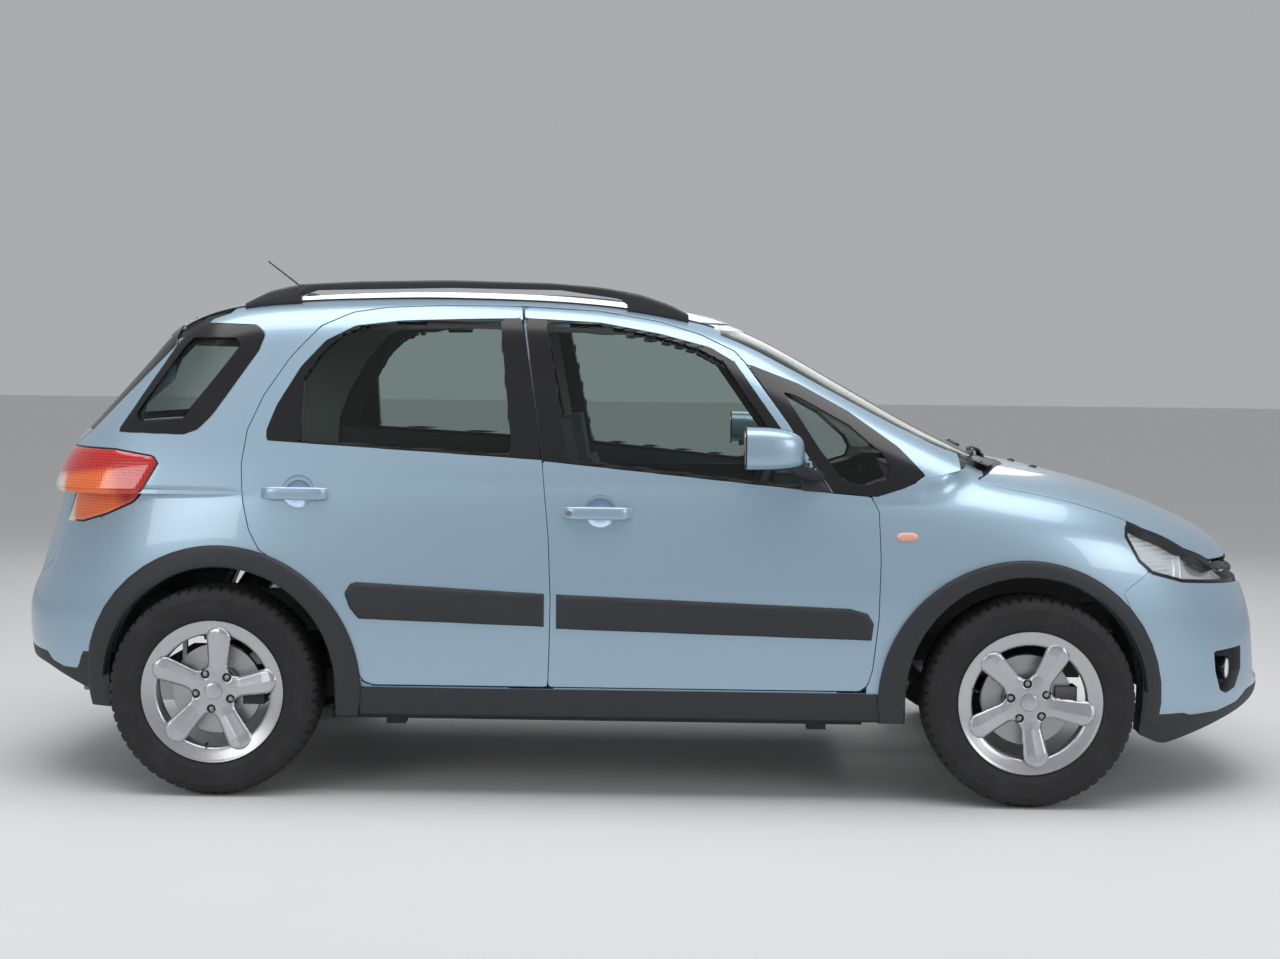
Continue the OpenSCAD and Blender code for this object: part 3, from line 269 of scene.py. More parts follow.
def trim(points, keep):
    """The part of a chart where keep is negative, its triangles cut where keep crosses zero."""
    n, m = keep.shape
    index = np.arange(n * m).reshape(n, m)
    a, b, c, d = index[:-1, :-1], index[1:, :-1], index[1:, 1:], index[:-1, 1:]
    tris = np.concatenate([np.stack([a, b, c], -1).reshape(-1, 3), np.stack([a, c, d], -1).reshape(-1, 3)])
    f = keep.ravel()
    f = np.where(np.abs(f) < 1e-3, -1e-3, f)
    verts = np.concatenate([points.reshape(-1, 3), grid_normals(points).reshape(-1, 3)], 1)
    inside = f[tris] < 0
    count = inside.sum(1)
    whole = tris[count == 3]

    def crossing(i, j):
        """A number for each edge between points i and j, whichever way round."""
        return np.minimum(i, j).astype(np.int64) * (n * m) + np.maximum(i, j)

    one, two = tris[count == 1], tris[count == 2]
    turned = []
    for group, lone_inside in ((one, True), (two, False)):
        if len(group):
            pick = (f[group] < 0) == lone_inside
            k = pick.argmax(1)
            turned.append(np.stack([group[np.arange(len(group)), (k + s) % 3] for s in range(3)], -1))
        else:
            turned.append(group)
    one, two = turned
    codes = np.concatenate([crossing(one[:, 0], one[:, 1]), crossing(one[:, 0], one[:, 2]),
                            crossing(two[:, 0], two[:, 1]), crossing(two[:, 0], two[:, 2])])
    unique, back = np.unique(codes, return_inverse=True)
    i, j = unique // (n * m), unique % (n * m)
    w = (f[i] / (f[i] - f[j]))[:, None]
    cut = verts[i] * (1 - w) + verts[j] * w
    back = back + n * m
    o, q = len(one), len(two)
    e1, e2, e3, e4 = back[:o], back[o:2 * o], back[2 * o:2 * o + q], back[2 * o + q:]
    faces = np.concatenate([whole, np.stack([one[:, 0], e1, e2], -1),
                            np.stack([e3, two[:, 1], two[:, 2]], -1),
                            np.stack([e3, two[:, 2], e4], -1)])
    verts = np.concatenate([verts, cut])
    used, faces = np.unique(faces, return_inverse=True)
    verts = verts[used]
    normals = verts[:, 3:] / np.maximum(np.linalg.norm(verts[:, 3:], axis=1, keepdims=True), 1e-9)
    return verts[:, :3], normals, faces.reshape(-1, 3)


def rolled(verts, normals, faces, depth, curl=1.2):
    """Turns a trimmed sheet's edge inwards: two further rows of points along it, the last one depth deep."""
    rim = rim_edges(faces)
    tangent = np.zeros_like(verts)
    run = verts[rim[:, 1]] - verts[rim[:, 0]]
    np.add.at(tangent, rim[:, 0], run)
    np.add.at(tangent, rim[:, 1], run)
    out = np.cross(tangent, normals)
    out /= np.maximum(np.linalg.norm(out, axis=1, keepdims=True), 1e-9)
    ids = np.unique(rim)
    place = np.full(len(verts), -1)
    place[ids] = np.arange(len(ids))
    near = verts[ids] + out[ids] * curl - normals[ids] * curl
    deep = verts[ids] + out[ids] * curl - normals[ids] * depth
    base = len(verts)
    r1, r2 = base + place[rim], base + len(ids) + place[rim]
    walls = np.concatenate([
        np.stack([rim[:, 1], rim[:, 0], r1[:, 0]], -1), np.stack([rim[:, 1], r1[:, 0], r1[:, 1]], -1),
        np.stack([r1[:, 1], r1[:, 0], r2[:, 0]], -1), np.stack([r1[:, 1], r2[:, 0], r2[:, 1]], -1)])
    allverts = np.concatenate([verts, near, deep])
    allnormals = np.concatenate([normals, out[ids], out[ids]])
    return allverts, allnormals, np.concatenate([faces, walls])


def mesh_object(name, verts, faces, normals=None, sharp=None):
    """A smooth mesh piece from arrays in millimetres on the car, its edges sharp past an angle, if given."""
    mesh = bpy.data.meshes.new(name)
    mesh.from_pydata((np.asarray(verts) * MM).tolist(), [], np.asarray(faces).tolist())
    mesh.shade_smooth()
    if sharp:
        mesh.set_sharp_from_angle(angle=math.radians(sharp))
    if normals is not None:
        mesh.normals_split_custom_set_from_vertices(np.asarray(normals, float).tolist())
    piece = bpy.data.objects.new(name, mesh)
    bpy.context.scene.collection.objects.link(piece)
    return piece


def trimmed_out(name, points, keep, lift):
    """A trimmed chart that faces outwards, lifted along its normals."""
    verts, normals, faces = trim(points, keep)
    if not len(faces):
        raise RuntimeError(name + ": nothing is left of a chart")
    if looks_in(verts, normals):
        normals, faces = -normals, faces[:, ::-1]
    return verts + normals * lift, normals, faces


def mirrored(verts, faces, side):
    """A right side's mesh as it is, or turned over for the left side."""
    return (verts, faces) if side == RIGHT else (verts * [1, -1, 1], faces[:, ::-1])


def skin(name, points, keep, depth, look, body="body", side=RIGHT, curl=1.2, lift=0.0, hides=()):
    """A panel piece from a trimmed chart of the right side, mirrored for the left, its edges turned in."""
    verts, normals, faces = trimmed_out(name, points, keep, lift)
    if depth:
        verts, normals, faces = rolled(verts, normals, faces, depth, curl)
    verts, faces = mirrored(verts + [SHIFT, 0, 0], faces, side)
    normals = mirrored(normals, faces, side)[0]
    return dress(mesh_object(name, verts, faces, normals), look, body, hides)


def facing_out(verts, faces):
    """Turns a closed mesh the right way: its signed volume is made positive."""
    a, b, c = (verts[faces[:, k]] for k in range(3))
    volume = (a * np.cross(b, c)).sum()
    return faces if volume > 0 else faces[:, ::-1]


def loft(rings):
    """A closed skin through rows of points: each row is a loop, the first and last closed by fans."""
    rings = np.asarray(rings, float)
    n, m = rings.shape[:2]
    index = np.arange(n * m).reshape(n, m)
    faces = strips(index[:-1], index[1:])
    verts = np.concatenate([rings.reshape(-1, 3), rings[:1].mean(1), rings[-1:].mean(1)])
    first, last = index[0], index[-1]
    faces.append(np.stack([np.roll(first, -1), first, np.full(m, n * m)], -1))
    faces.append(np.stack([last, np.roll(last, -1), np.full(m, n * m + 1)], -1))
    return verts, facing_out(verts - verts.mean(0), np.concatenate(faces))


def sweep(path, section, scale=None, up=(0.0, 0.0, 1.0)):
    """Carries a closed section (across, up) along a path; it may be scaled at each point of the path."""
    path = np.asarray(path, float)
    section = np.asarray(section, float)
    ahead = np.gradient(path, axis=0)
    ahead /= np.linalg.norm(ahead, axis=1, keepdims=True)
    side = np.cross(ahead, up)
    side /= np.maximum(np.linalg.norm(side, axis=1, keepdims=True), 1e-9)
    rise = np.cross(side, ahead)
    size = np.ones(len(path)) if scale is None else np.asarray(scale, float)
    rings = path[:, None] + (side[:, None] * section[None, :, :1] + rise[:, None] * section[None, :, 1:]) \
        * size[:, None, None]
    return loft(rings)


def oval(a, b, power=2.0, count=20):
    """A rounded loop: half sizes a and b, squarer for a larger power."""
    c, d = np.cos(turns(count)), np.sin(turns(count))
    return np.stack([a * np.sign(c) * np.abs(c) ** (2 / power), b * np.sign(d) * np.abs(d) ** (2 / power)],
                    -1)


def smooth_path(points, count=40):
    """A curve through points: each coordinate follows the distance along them, eased by averaging."""
    points = np.asarray(points, float)
    run = np.concatenate([[0], np.cumsum(np.linalg.norm(np.diff(points, axis=0), axis=1))])
    t = np.linspace(0, run[-1], count)
    path = np.stack([np.interp(t, run, points[:, k]) for k in range(points.shape[1])], -1)
    for _ in range(3):
        path[1:-1] = (path[:-2] + 2 * path[1:-1] + path[2:]) / 4
    return path


def turns(count):
    """Angles round a circle."""
    return np.linspace(0, 2 * np.pi, count, endpoint=False)


def wheel_rings(radius, along):
    """A closed mesh round a wheel's axle from radii and places along it, both by turn and profile point."""
    t = turns(len(radius))[:, None]
    rings = np.stack([radius * np.cos(t), -along, radius * np.sin(t)], -1)
    index = np.arange(radius.size).reshape(radius.shape)
    verts = rings.reshape(-1, 3)
    return verts, facing_out(verts, np.concatenate(strips(index, np.roll(index, -1, 0))))


def lathe(profile, count):
    """Turns a closed profile of (radius, place along the axle) round a wheel's axle; along is outwards."""
    profile = np.repeat(np.array(profile, float)[None], count, 0)
    return wheel_rings(profile[..., 0], profile[..., 1])


def joined(parts):
    """One mesh from several."""
    base, verts, faces = 0, [], []
    for v, f in parts:
        verts.append(v)
        faces.append(f + base)
        base += len(v)
    return np.concatenate(verts), np.concatenate(faces)


def solid_piece(name, parts, look, body="body", side=RIGHT, sharp=38, hides=()):
    """A piece from closed meshes of the right side, mirrored for the left, edges sharp past an angle."""
    verts, faces = mirrored(*joined(parts), side)
    return dress(mesh_object(name, verts, faces, sharp=sharp), look, body, hides)


def raised(points, lift):
    """A chart moved outwards along its normals by a height at each point."""
    n = grid_normals(points)
    return points + (-n if looks_in(points, n) else n) * np.asarray(lift)[..., None]


def crown(distance, height, width):
    """A rounded edge: nothing at the outline, the full height from width inside it."""
    u = 1 - np.clip(-distance / width, 0, 1)
    return height * np.sqrt(1 - u * u)


def plate_sheet(name, points, keep, thick, look, body="body", side=RIGHT, hides=(), lift=0.0):
    """A closed sheet: a trimmed chart, its copy a thickness further in, and walls between their edges."""
    v, nrm, f = trimmed_out(name, points, keep, lift)
    rim = rim_edges(f)
    n = len(v)
    walls = np.concatenate([np.stack([rim[:, 1], rim[:, 0], rim[:, 0] + n], -1),
                            np.stack([rim[:, 1], rim[:, 0] + n, rim[:, 1] + n], -1)])
    verts = np.concatenate([v, v - nrm * thick]) + [SHIFT, 0, 0]
    faces = np.concatenate([f, f[:, ::-1] + n, walls])
    verts, faces = mirrored(verts, faces, side)
    return dress(mesh_object(name, verts, faces, sharp=50), look, body, hides)


def straight_chart(y0, y1, z0, z1, x0, way, size=14, t=0.0):
    """The cabin's front or rear glass: level rays forwards (way 1) or backwards (way -1) from station x0."""
    y, z = np.meshgrid(steps(y0, y1, size), steps(z0, z1, size), indexing="ij")
    origin = np.stack([np.full_like(y, x0), y, z], -1)
    return cast(origin, way * AHEAD, 0, 2400, t, half_high)


def toned(colour, share):
    """A colour made darker or lighter."""
    return tuple(min(1, c * share) for c in colour)


class Value:
    """A shader socket: arithmetic on it adds Math nodes."""

    def __init__(self, finish, socket):
        self.finish, self.socket = finish, socket

    def math(self, operation, other=None, swap=False):
        """One Math node; swap puts the other value first."""
        values = {0: self} if other is None else ({0: other, 1: self} if swap else {0: self, 1: other})
        return self.finish.node("ShaderNodeMath", {"operation": operation}, values)

    def __add__(self, o):
        return self.math("ADD", o)

    __radd__ = __add__

    def __sub__(self, o):
        return self.math("SUBTRACT", o)

    def __rsub__(self, o):
        return self.math("SUBTRACT", o, True)

    def __mul__(self, o):
        return self.math("MULTIPLY", o)

    __rmul__ = __mul__

    def __gt__(self, o):
        return self.math("GREATER_THAN", o)

    def __lt__(self, o):
        return self.math("LESS_THAN", o)

    def clamp(self):
        """Held between 0 and 1."""
        return self.math("MAXIMUM", 0.0).math("MINIMUM", 1.0)


class Finish:
    """A material and the one method that adds any node to it."""

    def __init__(self, name):
        self.material = bpy.data.materials.new(name)
        self.material.use_nodes = True
        self.tree = self.material.node_tree
        self.tree.nodes.clear()
        self.out = self.tree.nodes.new("ShaderNodeOutputMaterial")
        self.where = self.node("ShaderNodeTexCoord", out="Object")

    def put(self, socket, value):
        """Links a value to a socket, or sets it there."""
        if isinstance(value, Value):
            self.tree.links.new(value.socket, socket)
        elif isinstance(value, (tuple, list)) and len(value) == 3 and socket.type == "RGBA":
            socket.default_value = (*value, 1.0)
        else:
            socket.default_value = value

    def node(self, kind, settings=None, values=None, out=0):
        """Adds a node and gives one of its outputs."""
        n = self.tree.nodes.new(kind)
        for key, value in (settings or {}).items():
            setattr(n, key, value)
        for key, value in (values or {}).items():
            self.put(n.inputs[key], value)
        return Value(self, n.outputs[out])

    def noise(self, scale, detail):
        """Noise over the piece's own places."""
        return self.node("ShaderNodeTexNoise", None, {"Vector": self.where, "Scale": scale, "Detail": detail,
                                                      "Roughness": 0.5})

    def mix(self, factor, a, b):
        """A mix of two colours."""
        return self.node("ShaderNodeMix", {"data_type": "RGBA"}, {0: factor, 6: a, 7: b}, 2)

    def tones(self, factor, colour, low, high):
        """A mix of a darker and a lighter tone of a colour."""
        return self.mix(factor, toned(colour, low), toned(colour, high))

    def bump(self, height, strength):
        """A normal bent by a height."""
        return self.node("ShaderNodeBump", None, {"Height": height, "Strength": strength, "Distance": MM})

    def axis(self, name):
        """One axis of the piece's own places."""
        return self.node("ShaderNodeSeparateXYZ", None, {0: self.where}, name)

    def surface(self, **values):
        """The main surface shader, its inputs named in words."""
        names = {k.replace("_", " ").title().replace("Ior", "IOR"): v for k, v in values.items()}
        return self.node("ShaderNodeBsdfPrincipled", None, names)

    def done(self, shader):
        """Links the surface and gives the material."""
        self.tree.links.new(shader.socket, self.out.inputs["Surface"])
        return self.material


def paint_finish(name, colour):
    """Metallic paint: fine flake grain in tone and roughness under a clear coat."""
    f = Finish(name)
    flake = f.noise(900.0, 2.0)
    drift = f.noise(3.0, 2.0)
    tone = f.tones(flake, colour, 0.93, 1.06)
    return f.done(f.surface(base_color=tone, metallic=0.55, roughness=0.34 + 0.06 * drift, coat_weight=0.85,
                            coat_roughness=0.04, normal=f.bump(flake, 0.03)))


ARCH_DARK = 0.147  # reach of the black inside the wheel openings, squared, in square metres


def panel_finish(name, colour, door):
    """A frame panel: paint outside, shaded paint in the shuts, lining inside, black round the wheels."""
    f = Finish(name)
    normal = f.node("ShaderNodeTexCoord", out="Normal")
    nx, ny, nz = (f.node("ShaderNodeSeparateXYZ", None, {0: normal}, axis) for axis in "XYZ")
    x, y, z = f.axis("X"), f.axis("Y"), f.axis("Z")
    flake = f.noise(900.0, 2.0)
    out = y.math("SIGN") * ny
    paint = f.tones(flake, colour, 0.93, 1.06)
    # Painted shade: faces in the shuts, those turned neither out to the side nor (on the body) up or down,
    # are mixed towards a deep tone of the paint; rearward faces at the tail count as outside.
    tail = ((x * -1.0 - 1.78) * 20.0).clamp() * (nx * -1.0)
    shut = (0.62 - ny.math("ABSOLUTE").math("MAXIMUM", tail)) * 8.0
    if not door:
        shut = shut.math("MINIMUM", (0.62 - nz.math("ABSOLUTE")) * 8.0)
    tone = f.mix((shut.clamp() * 0.8), paint, toned(colour, 0.16))
    high = ((z - 1.0) * 30.0).clamp()
    lining = f.mix(high, (0.045, 0.047, 0.05), (0.075, 0.077, 0.08) if door else (0.36, 0.36, 0.35))
    ceiling = (nz < -0.5) * (z > 1.2)
    inner = (out < -0.25).math("MAXIMUM", ceiling)
    tone = f.mix(inner, tone, lining)
    reach = []
    for arch in (ARCH_FRONT, ARCH_REAR):
        along, up = x - (arch[0] + SHIFT) * MM, z - arch[1] * MM
        reach.append(along * along + up * up)
    dark = (reach[0].math("MINIMUM", reach[1]) < ARCH_DARK).math("MAXIMUM", (nz < -0.5) * (z < 0.6))
    if door:
        station = x + 0.3075
        waist = (1.042 - station * 0.0563).math("MINIMUM", 1.042 - station * 0.0975)
        dark = dark.math("MAXIMUM", z > waist - 0.004)
    else:
        reveal = (ny.math("ABSOLUTE") < 0.6) * ((x < -1.19) * (z > 1.13) + (x > 0.42) * (z > 0.955))
        dark = dark.math("MAXIMUM", reveal)
    tone = f.mix(dark, tone, (0.010, 0.010, 0.011))
    plain = inner.math("MAXIMUM", dark).clamp()
    return f.done(f.surface(base_color=tone, metallic=0.55 * (1.0 - plain), roughness=0.34 + 0.36 * plain,
                            coat_weight=0.85 * (1.0 - plain), coat_roughness=0.04,
                            normal=f.bump(flake, 0.03)))


def plastic_finish(name, colour, rough=0.55, grain=600.0, strength=0.25):
    """Moulded plastic with a fine grain."""
    f = Finish(name)
    fine = f.noise(grain, 3.0)
    broad = f.noise(6.0, 3.0)
    tone = f.tones(broad, colour, 0.85, 1.2)
    return f.done(f.surface(base_color=tone, roughness=rough + 0.12 * (broad - 0.5),
                            normal=f.bump(fine, strength)))


def glass_finish(name, tint, gloss=0.03, density=0.03):
    """Window glass: a see-through tint under a reflection that grows at flat angles."""
    f = Finish(name)
    smear = f.noise(4.0, 3.0)
    facing = f.node("ShaderNodeLayerWeight", None, {"Blend": 0.5}, "Facing")
    edge = facing.math("POWER", 5.0) + 0.04
    clear = f.node("ShaderNodeBsdfTransparent", None, {"Color": tint})
    body = f.surface(base_color=toned(tint, 0.12), roughness=gloss + 0.02 * smear,
                     specular_ior_level=0.9)
    factor = (edge * 0.9 + density).clamp()
    return f.done(f.node("ShaderNodeMixShader", None, {0: factor, 1: clear, 2: body}))


def metal_finish(name, colour, rough=0.3, metallic=1.0, grain=120.0, strength=0.05):
    """Metal with a fine grain in its tone and gloss."""
    f = Finish(name)
    fine = f.noise(grain, 4.0)
    tone = f.tones(fine, colour, 0.9, 1.06)
    return f.done(f.surface(base_color=tone, metallic=metallic, roughness=rough + 0.12 * (fine - 0.5),
                            normal=f.bump(fine, strength)))


def rubber_finish(name, colour):
    """Tyre rubber: dull black, a little dusty in patches."""
    f = Finish(name)
    dust = f.noise(14.0, 5.0)
    fine = f.noise(500.0, 2.0)
    tone = f.mix((dust - 0.45).clamp() * 1.6, colour, tuple(c * 2.1 + 0.01 for c in colour))
    return f.done(f.surface(base_color=tone, roughness=0.72 + 0.15 * dust, normal=f.bump(fine, 0.2)))


def cloth_finish(name, colour):
    """Woven cloth: crossed fine waves."""
    f = Finish(name)
    x, z = f.axis("X"), f.axis("Z")
    weave = ((x * 2600.0).math("SINE") * (z * 2600.0).math("SINE")) * 0.5 + 0.5
    broad = f.noise(20.0, 3.0)
    tone = f.tones(weave * 0.4 + broad * 0.4, colour, 0.75, 1.3)
    return f.done(f.surface(base_color=tone, roughness=0.92, normal=f.bump(weave, 0.3)))


def rear_lamp_finish(name, colour):
    """Red lens over an orange zone and a pale one at its rear end, with fine ribs; the pale zone is partly
    the clear reversing lens and partly a painted highlight.
    """
    f = Finish(name)
    x, z = f.axis("X"), f.axis("Z")
    ribs = ((x * 700.0).math("SINE") * 0.5 + 0.5) * ((z * 700.0).math("SINE") * 0.5 + 0.5)
    low = ((1.0 - z + (x + 1.75) * 0.12) * 45.0).clamp() * ((x * -1.0 - 1.6) * 22.0).clamp()
    # Painted highlight: the pale zone at the rear end stands partly for the clear reversing lens and partly
    # for a reflection of a bright light.
    end = low * ((x * -1.0 - 1.79) * 50.0).clamp()
    red = f.mix(ribs, colour, (0.72, 0.03, 0.02))
    orange = f.mix(ribs, (0.75, 0.12, 0.02), (0.95, 0.24, 0.05))
    tone = f.mix(end, f.mix(low, red, orange), (0.78, 0.66, 0.58))
    return f.done(f.surface(base_color=tone, roughness=0.12, coat_weight=1.0, normal=f.bump(ribs, 0.25)))


def floor_finish(name, colour):
    """Pale studio floor with faint specks."""
    f = Finish(name)
    speck = f.noise(3.0, 4.0)
    tone = f.tones(speck, colour, 0.97, 1)
    return f.done(f.surface(base_color=tone, roughness=0.55))


def colour_setting(name, description, default):
    """A colour in the panel's settings."""
    return bpy.props.FloatVectorProperty(name=name, description=description, subtype="COLOR", size=3,
                                         default=default, min=0, max=1)


class CrossoverColours(bpy.types.PropertyGroup):
    """Colours of the finishes."""
    paint: colour_setting("Paint", "Body paint", (0.34, 0.475, 0.585))
    trim: colour_setting("Trim", "Black plastic of cladding, rails and mouldings", (0.020, 0.022, 0.026))
    glass: colour_setting("Glass", "Tint of the windows", (0.84, 0.89, 0.87))
    alloy: colour_setting("Alloy", "Wheel lacquer", (0.50, 0.51, 0.53))
    rubber: colour_setting("Rubber", "Tyres", (0.013, 0.013, 0.014))
    cloth: colour_setting("Cloth", "Seat cloth", (0.10, 0.105, 0.115))
    floor: colour_setting("Floor", "Studio floor", (0.72, 0.72, 0.72))


class CrossoverSizes(bpy.types.PropertyGroup):
    """Sizes in millimetres of what is added over the frame."""
    shut: bpy.props.FloatProperty(name="Shut line", description="Gap between panels that open", default=4.2,
                                  min=2, max=8)
    seam: bpy.props.FloatProperty(name="Seam", description="Gap between fixed panels", default=1.6, min=0.5,
                                  max=4)
    lift: bpy.props.FloatProperty(name="Skin lift",
                                  description="Height of the smooth skins over the frame's faces",
                                  default=0.8, min=0.2, max=3)
    grid: bpy.props.FloatProperty(name="Skin grid", description="Width of a skin's cells", default=13,
                                  min=6, max=40)
    key_light: bpy.props.FloatProperty(name="Key light", description="Power of the big lamp overhead",
                                       default=210, min=0, max=3000, subtype="POWER")


DOOR_REAR = [(-377, 1519), (-620, 1519), (-800, 1511), (-905, 1494), (-1000, 1450), (-1087, 1355),
             (-1164, 1234), (-1208, 1127), (-1220, 1022), (-1212, 916), (-1191, 825), (-1158, 763),
             (-1105, 728), (-1029, 674), (-952, 598), (-891, 492), (-857, 394), (-838, 363), (-808, 352),
             (-272, 352), (-268, 470), (-265, 623), (-273, 806), (-297, 1042), (-321, 1198), (-353, 1381)]
DOOR_FRONT = [(-371, 1519), (-350, 1381), (-321, 1198), (-297, 1042), (-273, 806), (-265, 623), (-268, 470),
              (-272, 352), (679, 352), (704, 372), (718, 422), (733, 575), (737, 758), (730, 903),
              (706, 946), (585, 956), (458, 1161), (321, 1351), (290, 1384), (181, 1436), (57, 1474),
              (-130, 1506)]
GLASS_REAR = [(-438, 1473), (-752, 1467), (-870, 1453), (-935, 1425), (-990, 1375), (-1060, 1265),
              (-1110, 1165), (-1128, 1110), (-1100, 1096), (-395, 1056), (-388, 1066)]
GLASS_FRONT = [(-301, 1473), (-129, 1463), (58, 1427), (182, 1390), (259, 1350), (342, 1229), (458, 1062),
               (524, 968), (-212, 1044), (-222, 1056)]
GLASS_REAR_END = -1046  # the rear door's pane ends at an upright bar, with a black panel behind it
BLACK_REAR = [(-377, 1480), (-560, 1476), (-752, 1469), (-892, 1452), (-982, 1405), (-1054, 1324),
              (-1122, 1204), (-1149, 1128), (-1147, 1095), (-1036, 1088), (-300, 1045), (-321, 1198),
              (-353, 1381)]
BLACK_FRONT = [(-368, 1481), (-353, 1381), (-321, 1198), (-297, 1042), (585, 956), (488, 1071), (382, 1220),
               (290, 1350), (213, 1395), (57, 1436), (-129, 1469)]
QUARTER_FRONT = [(434, 1266), (489, 1246), (641, 1163), (745, 1074), (768, 1032), (759, 1000), (693, 979),
                 (624, 991), (549, 1087)]
QUARTER_FRONT_BLACK = [(330, 1345), (489, 1285), (641, 1202), (791, 1096), (873, 1011), (804, 971),
                       (706, 939), (594, 953), (458, 1161)]
QUARTER_REAR = [(-1405, 1413), (-1264, 1412), (-1246, 1387), (-1411, 1155), (-1441, 1144), (-1555, 1150),
                (-1566, 1172), (-1433, 1385)]
QUARTER_REAR_BLACK = [(-1424, 1457), (-1204, 1450), (-1174, 1425), (-1188, 1372), (-1320, 1171),
                      (-1362, 1126), (-1406, 1110), (-1617, 1117)]
TAIL_LAMP = [(-1900, 1071), (-1617, 1066), (-1492, 1046), (-1474, 1022), (-1518, 943), (-1565, 896),
             (-1657, 856), (-1750, 828), (-1980, 820)]
HEADLAMP = [(1489, 828), (1494, 858), (1526, 886), (1590, 872), (1680, 836), (1760, 790), (1860, 745),
            (1960, 700), (1960, 660), (1780, 676), (1681, 685), (1575, 714), (1529, 753)]
FRONT_BUMPER = [(2100, 150), (1560, 150), (1530, 560), (1481, 661), (1560, 717), (1600, 740), (1600, 900),
                (2100, 900)]
REAR_BUMPER = [(-2100, 250), (-1560, 250), (-1560, 600), (-1603, 666), (-1633, 703), (-1667, 773),
               (-1679, 849), (-1700, 870), (-2100, 870)]
WING = [(700, 100), (700, 946), (804, 971), (873, 1002), (940, 1017), (1010, 1032), (1010, 1300),
        (1700, 1300), (1700, 100)]
BONNET_HALF = [(1040, 716), (1150, 722), (1400, 712), (1560, 690), (1700, 640), (1800, 570), (1870, 470),
               (1915, 330), (1935, 150)]
BONNET = ([(1085, 640), (1168, 400), (1205, 0), (1168, -400), (1085, -640)]
          + [(x, -y) for x, y in BONNET_HALF] + BONNET_HALF[::-1])
TAILGATE = [(-560, 1580), (560, 1580), (600, 1440), (640, 1110), (600, 1070), (590, 850), (560, 700),
            (520, 660), (-520, 660), (-560, 700), (-590, 850), (-600, 1070), (-640, 1110), (-600, 1440)]
REAR_WINDOW = [(-520, 1420), (520, 1420), (565, 1125), (-565, 1125)]
SCREEN = [(-630, 1035), (-677, 1088), (-600, 1440), (-560, 1474), (560, 1474), (600, 1440), (677, 1088),
          (630, 1035)]
ARCH_REAR, ARCH_FRONT = (-1282.5, 352, 358), (1183.5, 345, 366)
CLAD_REAR, CLAD_FRONT = (-1284.5, 337, 438), (1175.5, 320, 440)


def wing_top(x):
    """Height of the seam between the wing and the pillar's foot."""
    return height([(700, 946), (804, 971), (873, 1002), (940, 1017), (985, 1027), (986, 1400)], x)


def settings():
    """The sizes and the colours set in the scene."""
    return bpy.context.scene.crossover_sizes, bpy.context.scene.crossover_colours


def dress(piece, look, body, hides=()):
    """Gives a piece its finish, lets it ride on a body, and hides the nodes it stands for."""
    piece.data.materials.append(finish(look))
    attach(piece, body)
    if hides:
        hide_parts(*hides)
    return piece


# Each finish: its maker, the material's name, a colour or the setting that holds it, and the maker's numbers
LOOKS = {
    "paint": (paint_finish, "body_paint", "paint"),
    "panel": (panel_finish, "body_panel", "paint", False),
    "door_panel": (panel_finish, "door_panel", "paint", True),
    "trim": (plastic_finish, "black_trim", "trim"),
    "gloss_black": (plastic_finish, "window_black", (0.008, 0.008, 0.009), 0.22, 40.0, 0.02),
    "glass": (glass_finish, "window_glass", "glass"),
    "lens": (glass_finish, "lamp_lens", (0.97, 0.98, 0.99), 0.02, 0.0),
    "red_lens": (rear_lamp_finish, "rear_lamp", (0.42, 0.008, 0.006)),
    "alloy": (metal_finish, "alloy_lacquer", "alloy", 0.3, 0.85, 60.0, 0.02),
    "chrome": (metal_finish, "lamp_chrome", (0.85, 0.86, 0.88), 0.08, 1.0, 20.0, 0.0),
    "steel": (metal_finish, "bare_steel", (0.42, 0.42, 0.42), 0.35),
    "iron": (metal_finish, "dark_iron", (0.16, 0.155, 0.15), 0.55, 0.8),
    "nut_steel": (metal_finish, "nut_steel", (0.35, 0.35, 0.36), 0.32),
    "reflector": (metal_finish, "lamp_reflector", (0.93, 0.94, 0.95), 0.3, 0.3, 30.0, 0.02),
    "repeater": (plastic_finish, "repeater_lens", (0.72, 0.38, 0.30), 0.2, 300.0, 0.1),
    "mesh": (plastic_finish, "grille_mesh", (0.006, 0.006, 0.007), 0.6, 220.0, 1.0),
    "plate": (plastic_finish, "blank_plate", (0.62, 0.62, 0.60), 0.35, 500.0, 0.05),
    "rail": (plastic_finish, "rail_black", (0.022, 0.022, 0.024), 0.42, 500.0, 0.12),
    "rubber_seal": (plastic_finish, "window_seal", (0.006, 0.006, 0.007), 0.6, 300.0, 0.1),
    "chassis": (plastic_finish, "chassis_black", (0.02, 0.02, 0.021), 0.6, 90.0, 0.3),
    "underbody": (plastic_finish, "underseal", (0.035, 0.036, 0.037), 0.85, 120.0, 0.6),
    "rubber": (rubber_finish, "tyre_rubber", "rubber"),
    "cloth": (cloth_finish, "seat_cloth", "cloth"),
    "cabin": (plastic_finish, "cabin_plastic", (0.05, 0.052, 0.056), 0.7, 700.0, 0.3),
    "floor": (floor_finish, "studio_floor", "floor"),
}
FINISHES = {}


def finish(name):
    """The finish of a name, made at its first use."""
    if name not in FINISHES:
        maker, label, colour, *numbers = LOOKS[name]
        if isinstance(colour, str):
            colour = tuple(getattr(settings()[1], colour))
        FINISHES[name] = maker(label, colour, *numbers)
    return FINISHES[name]


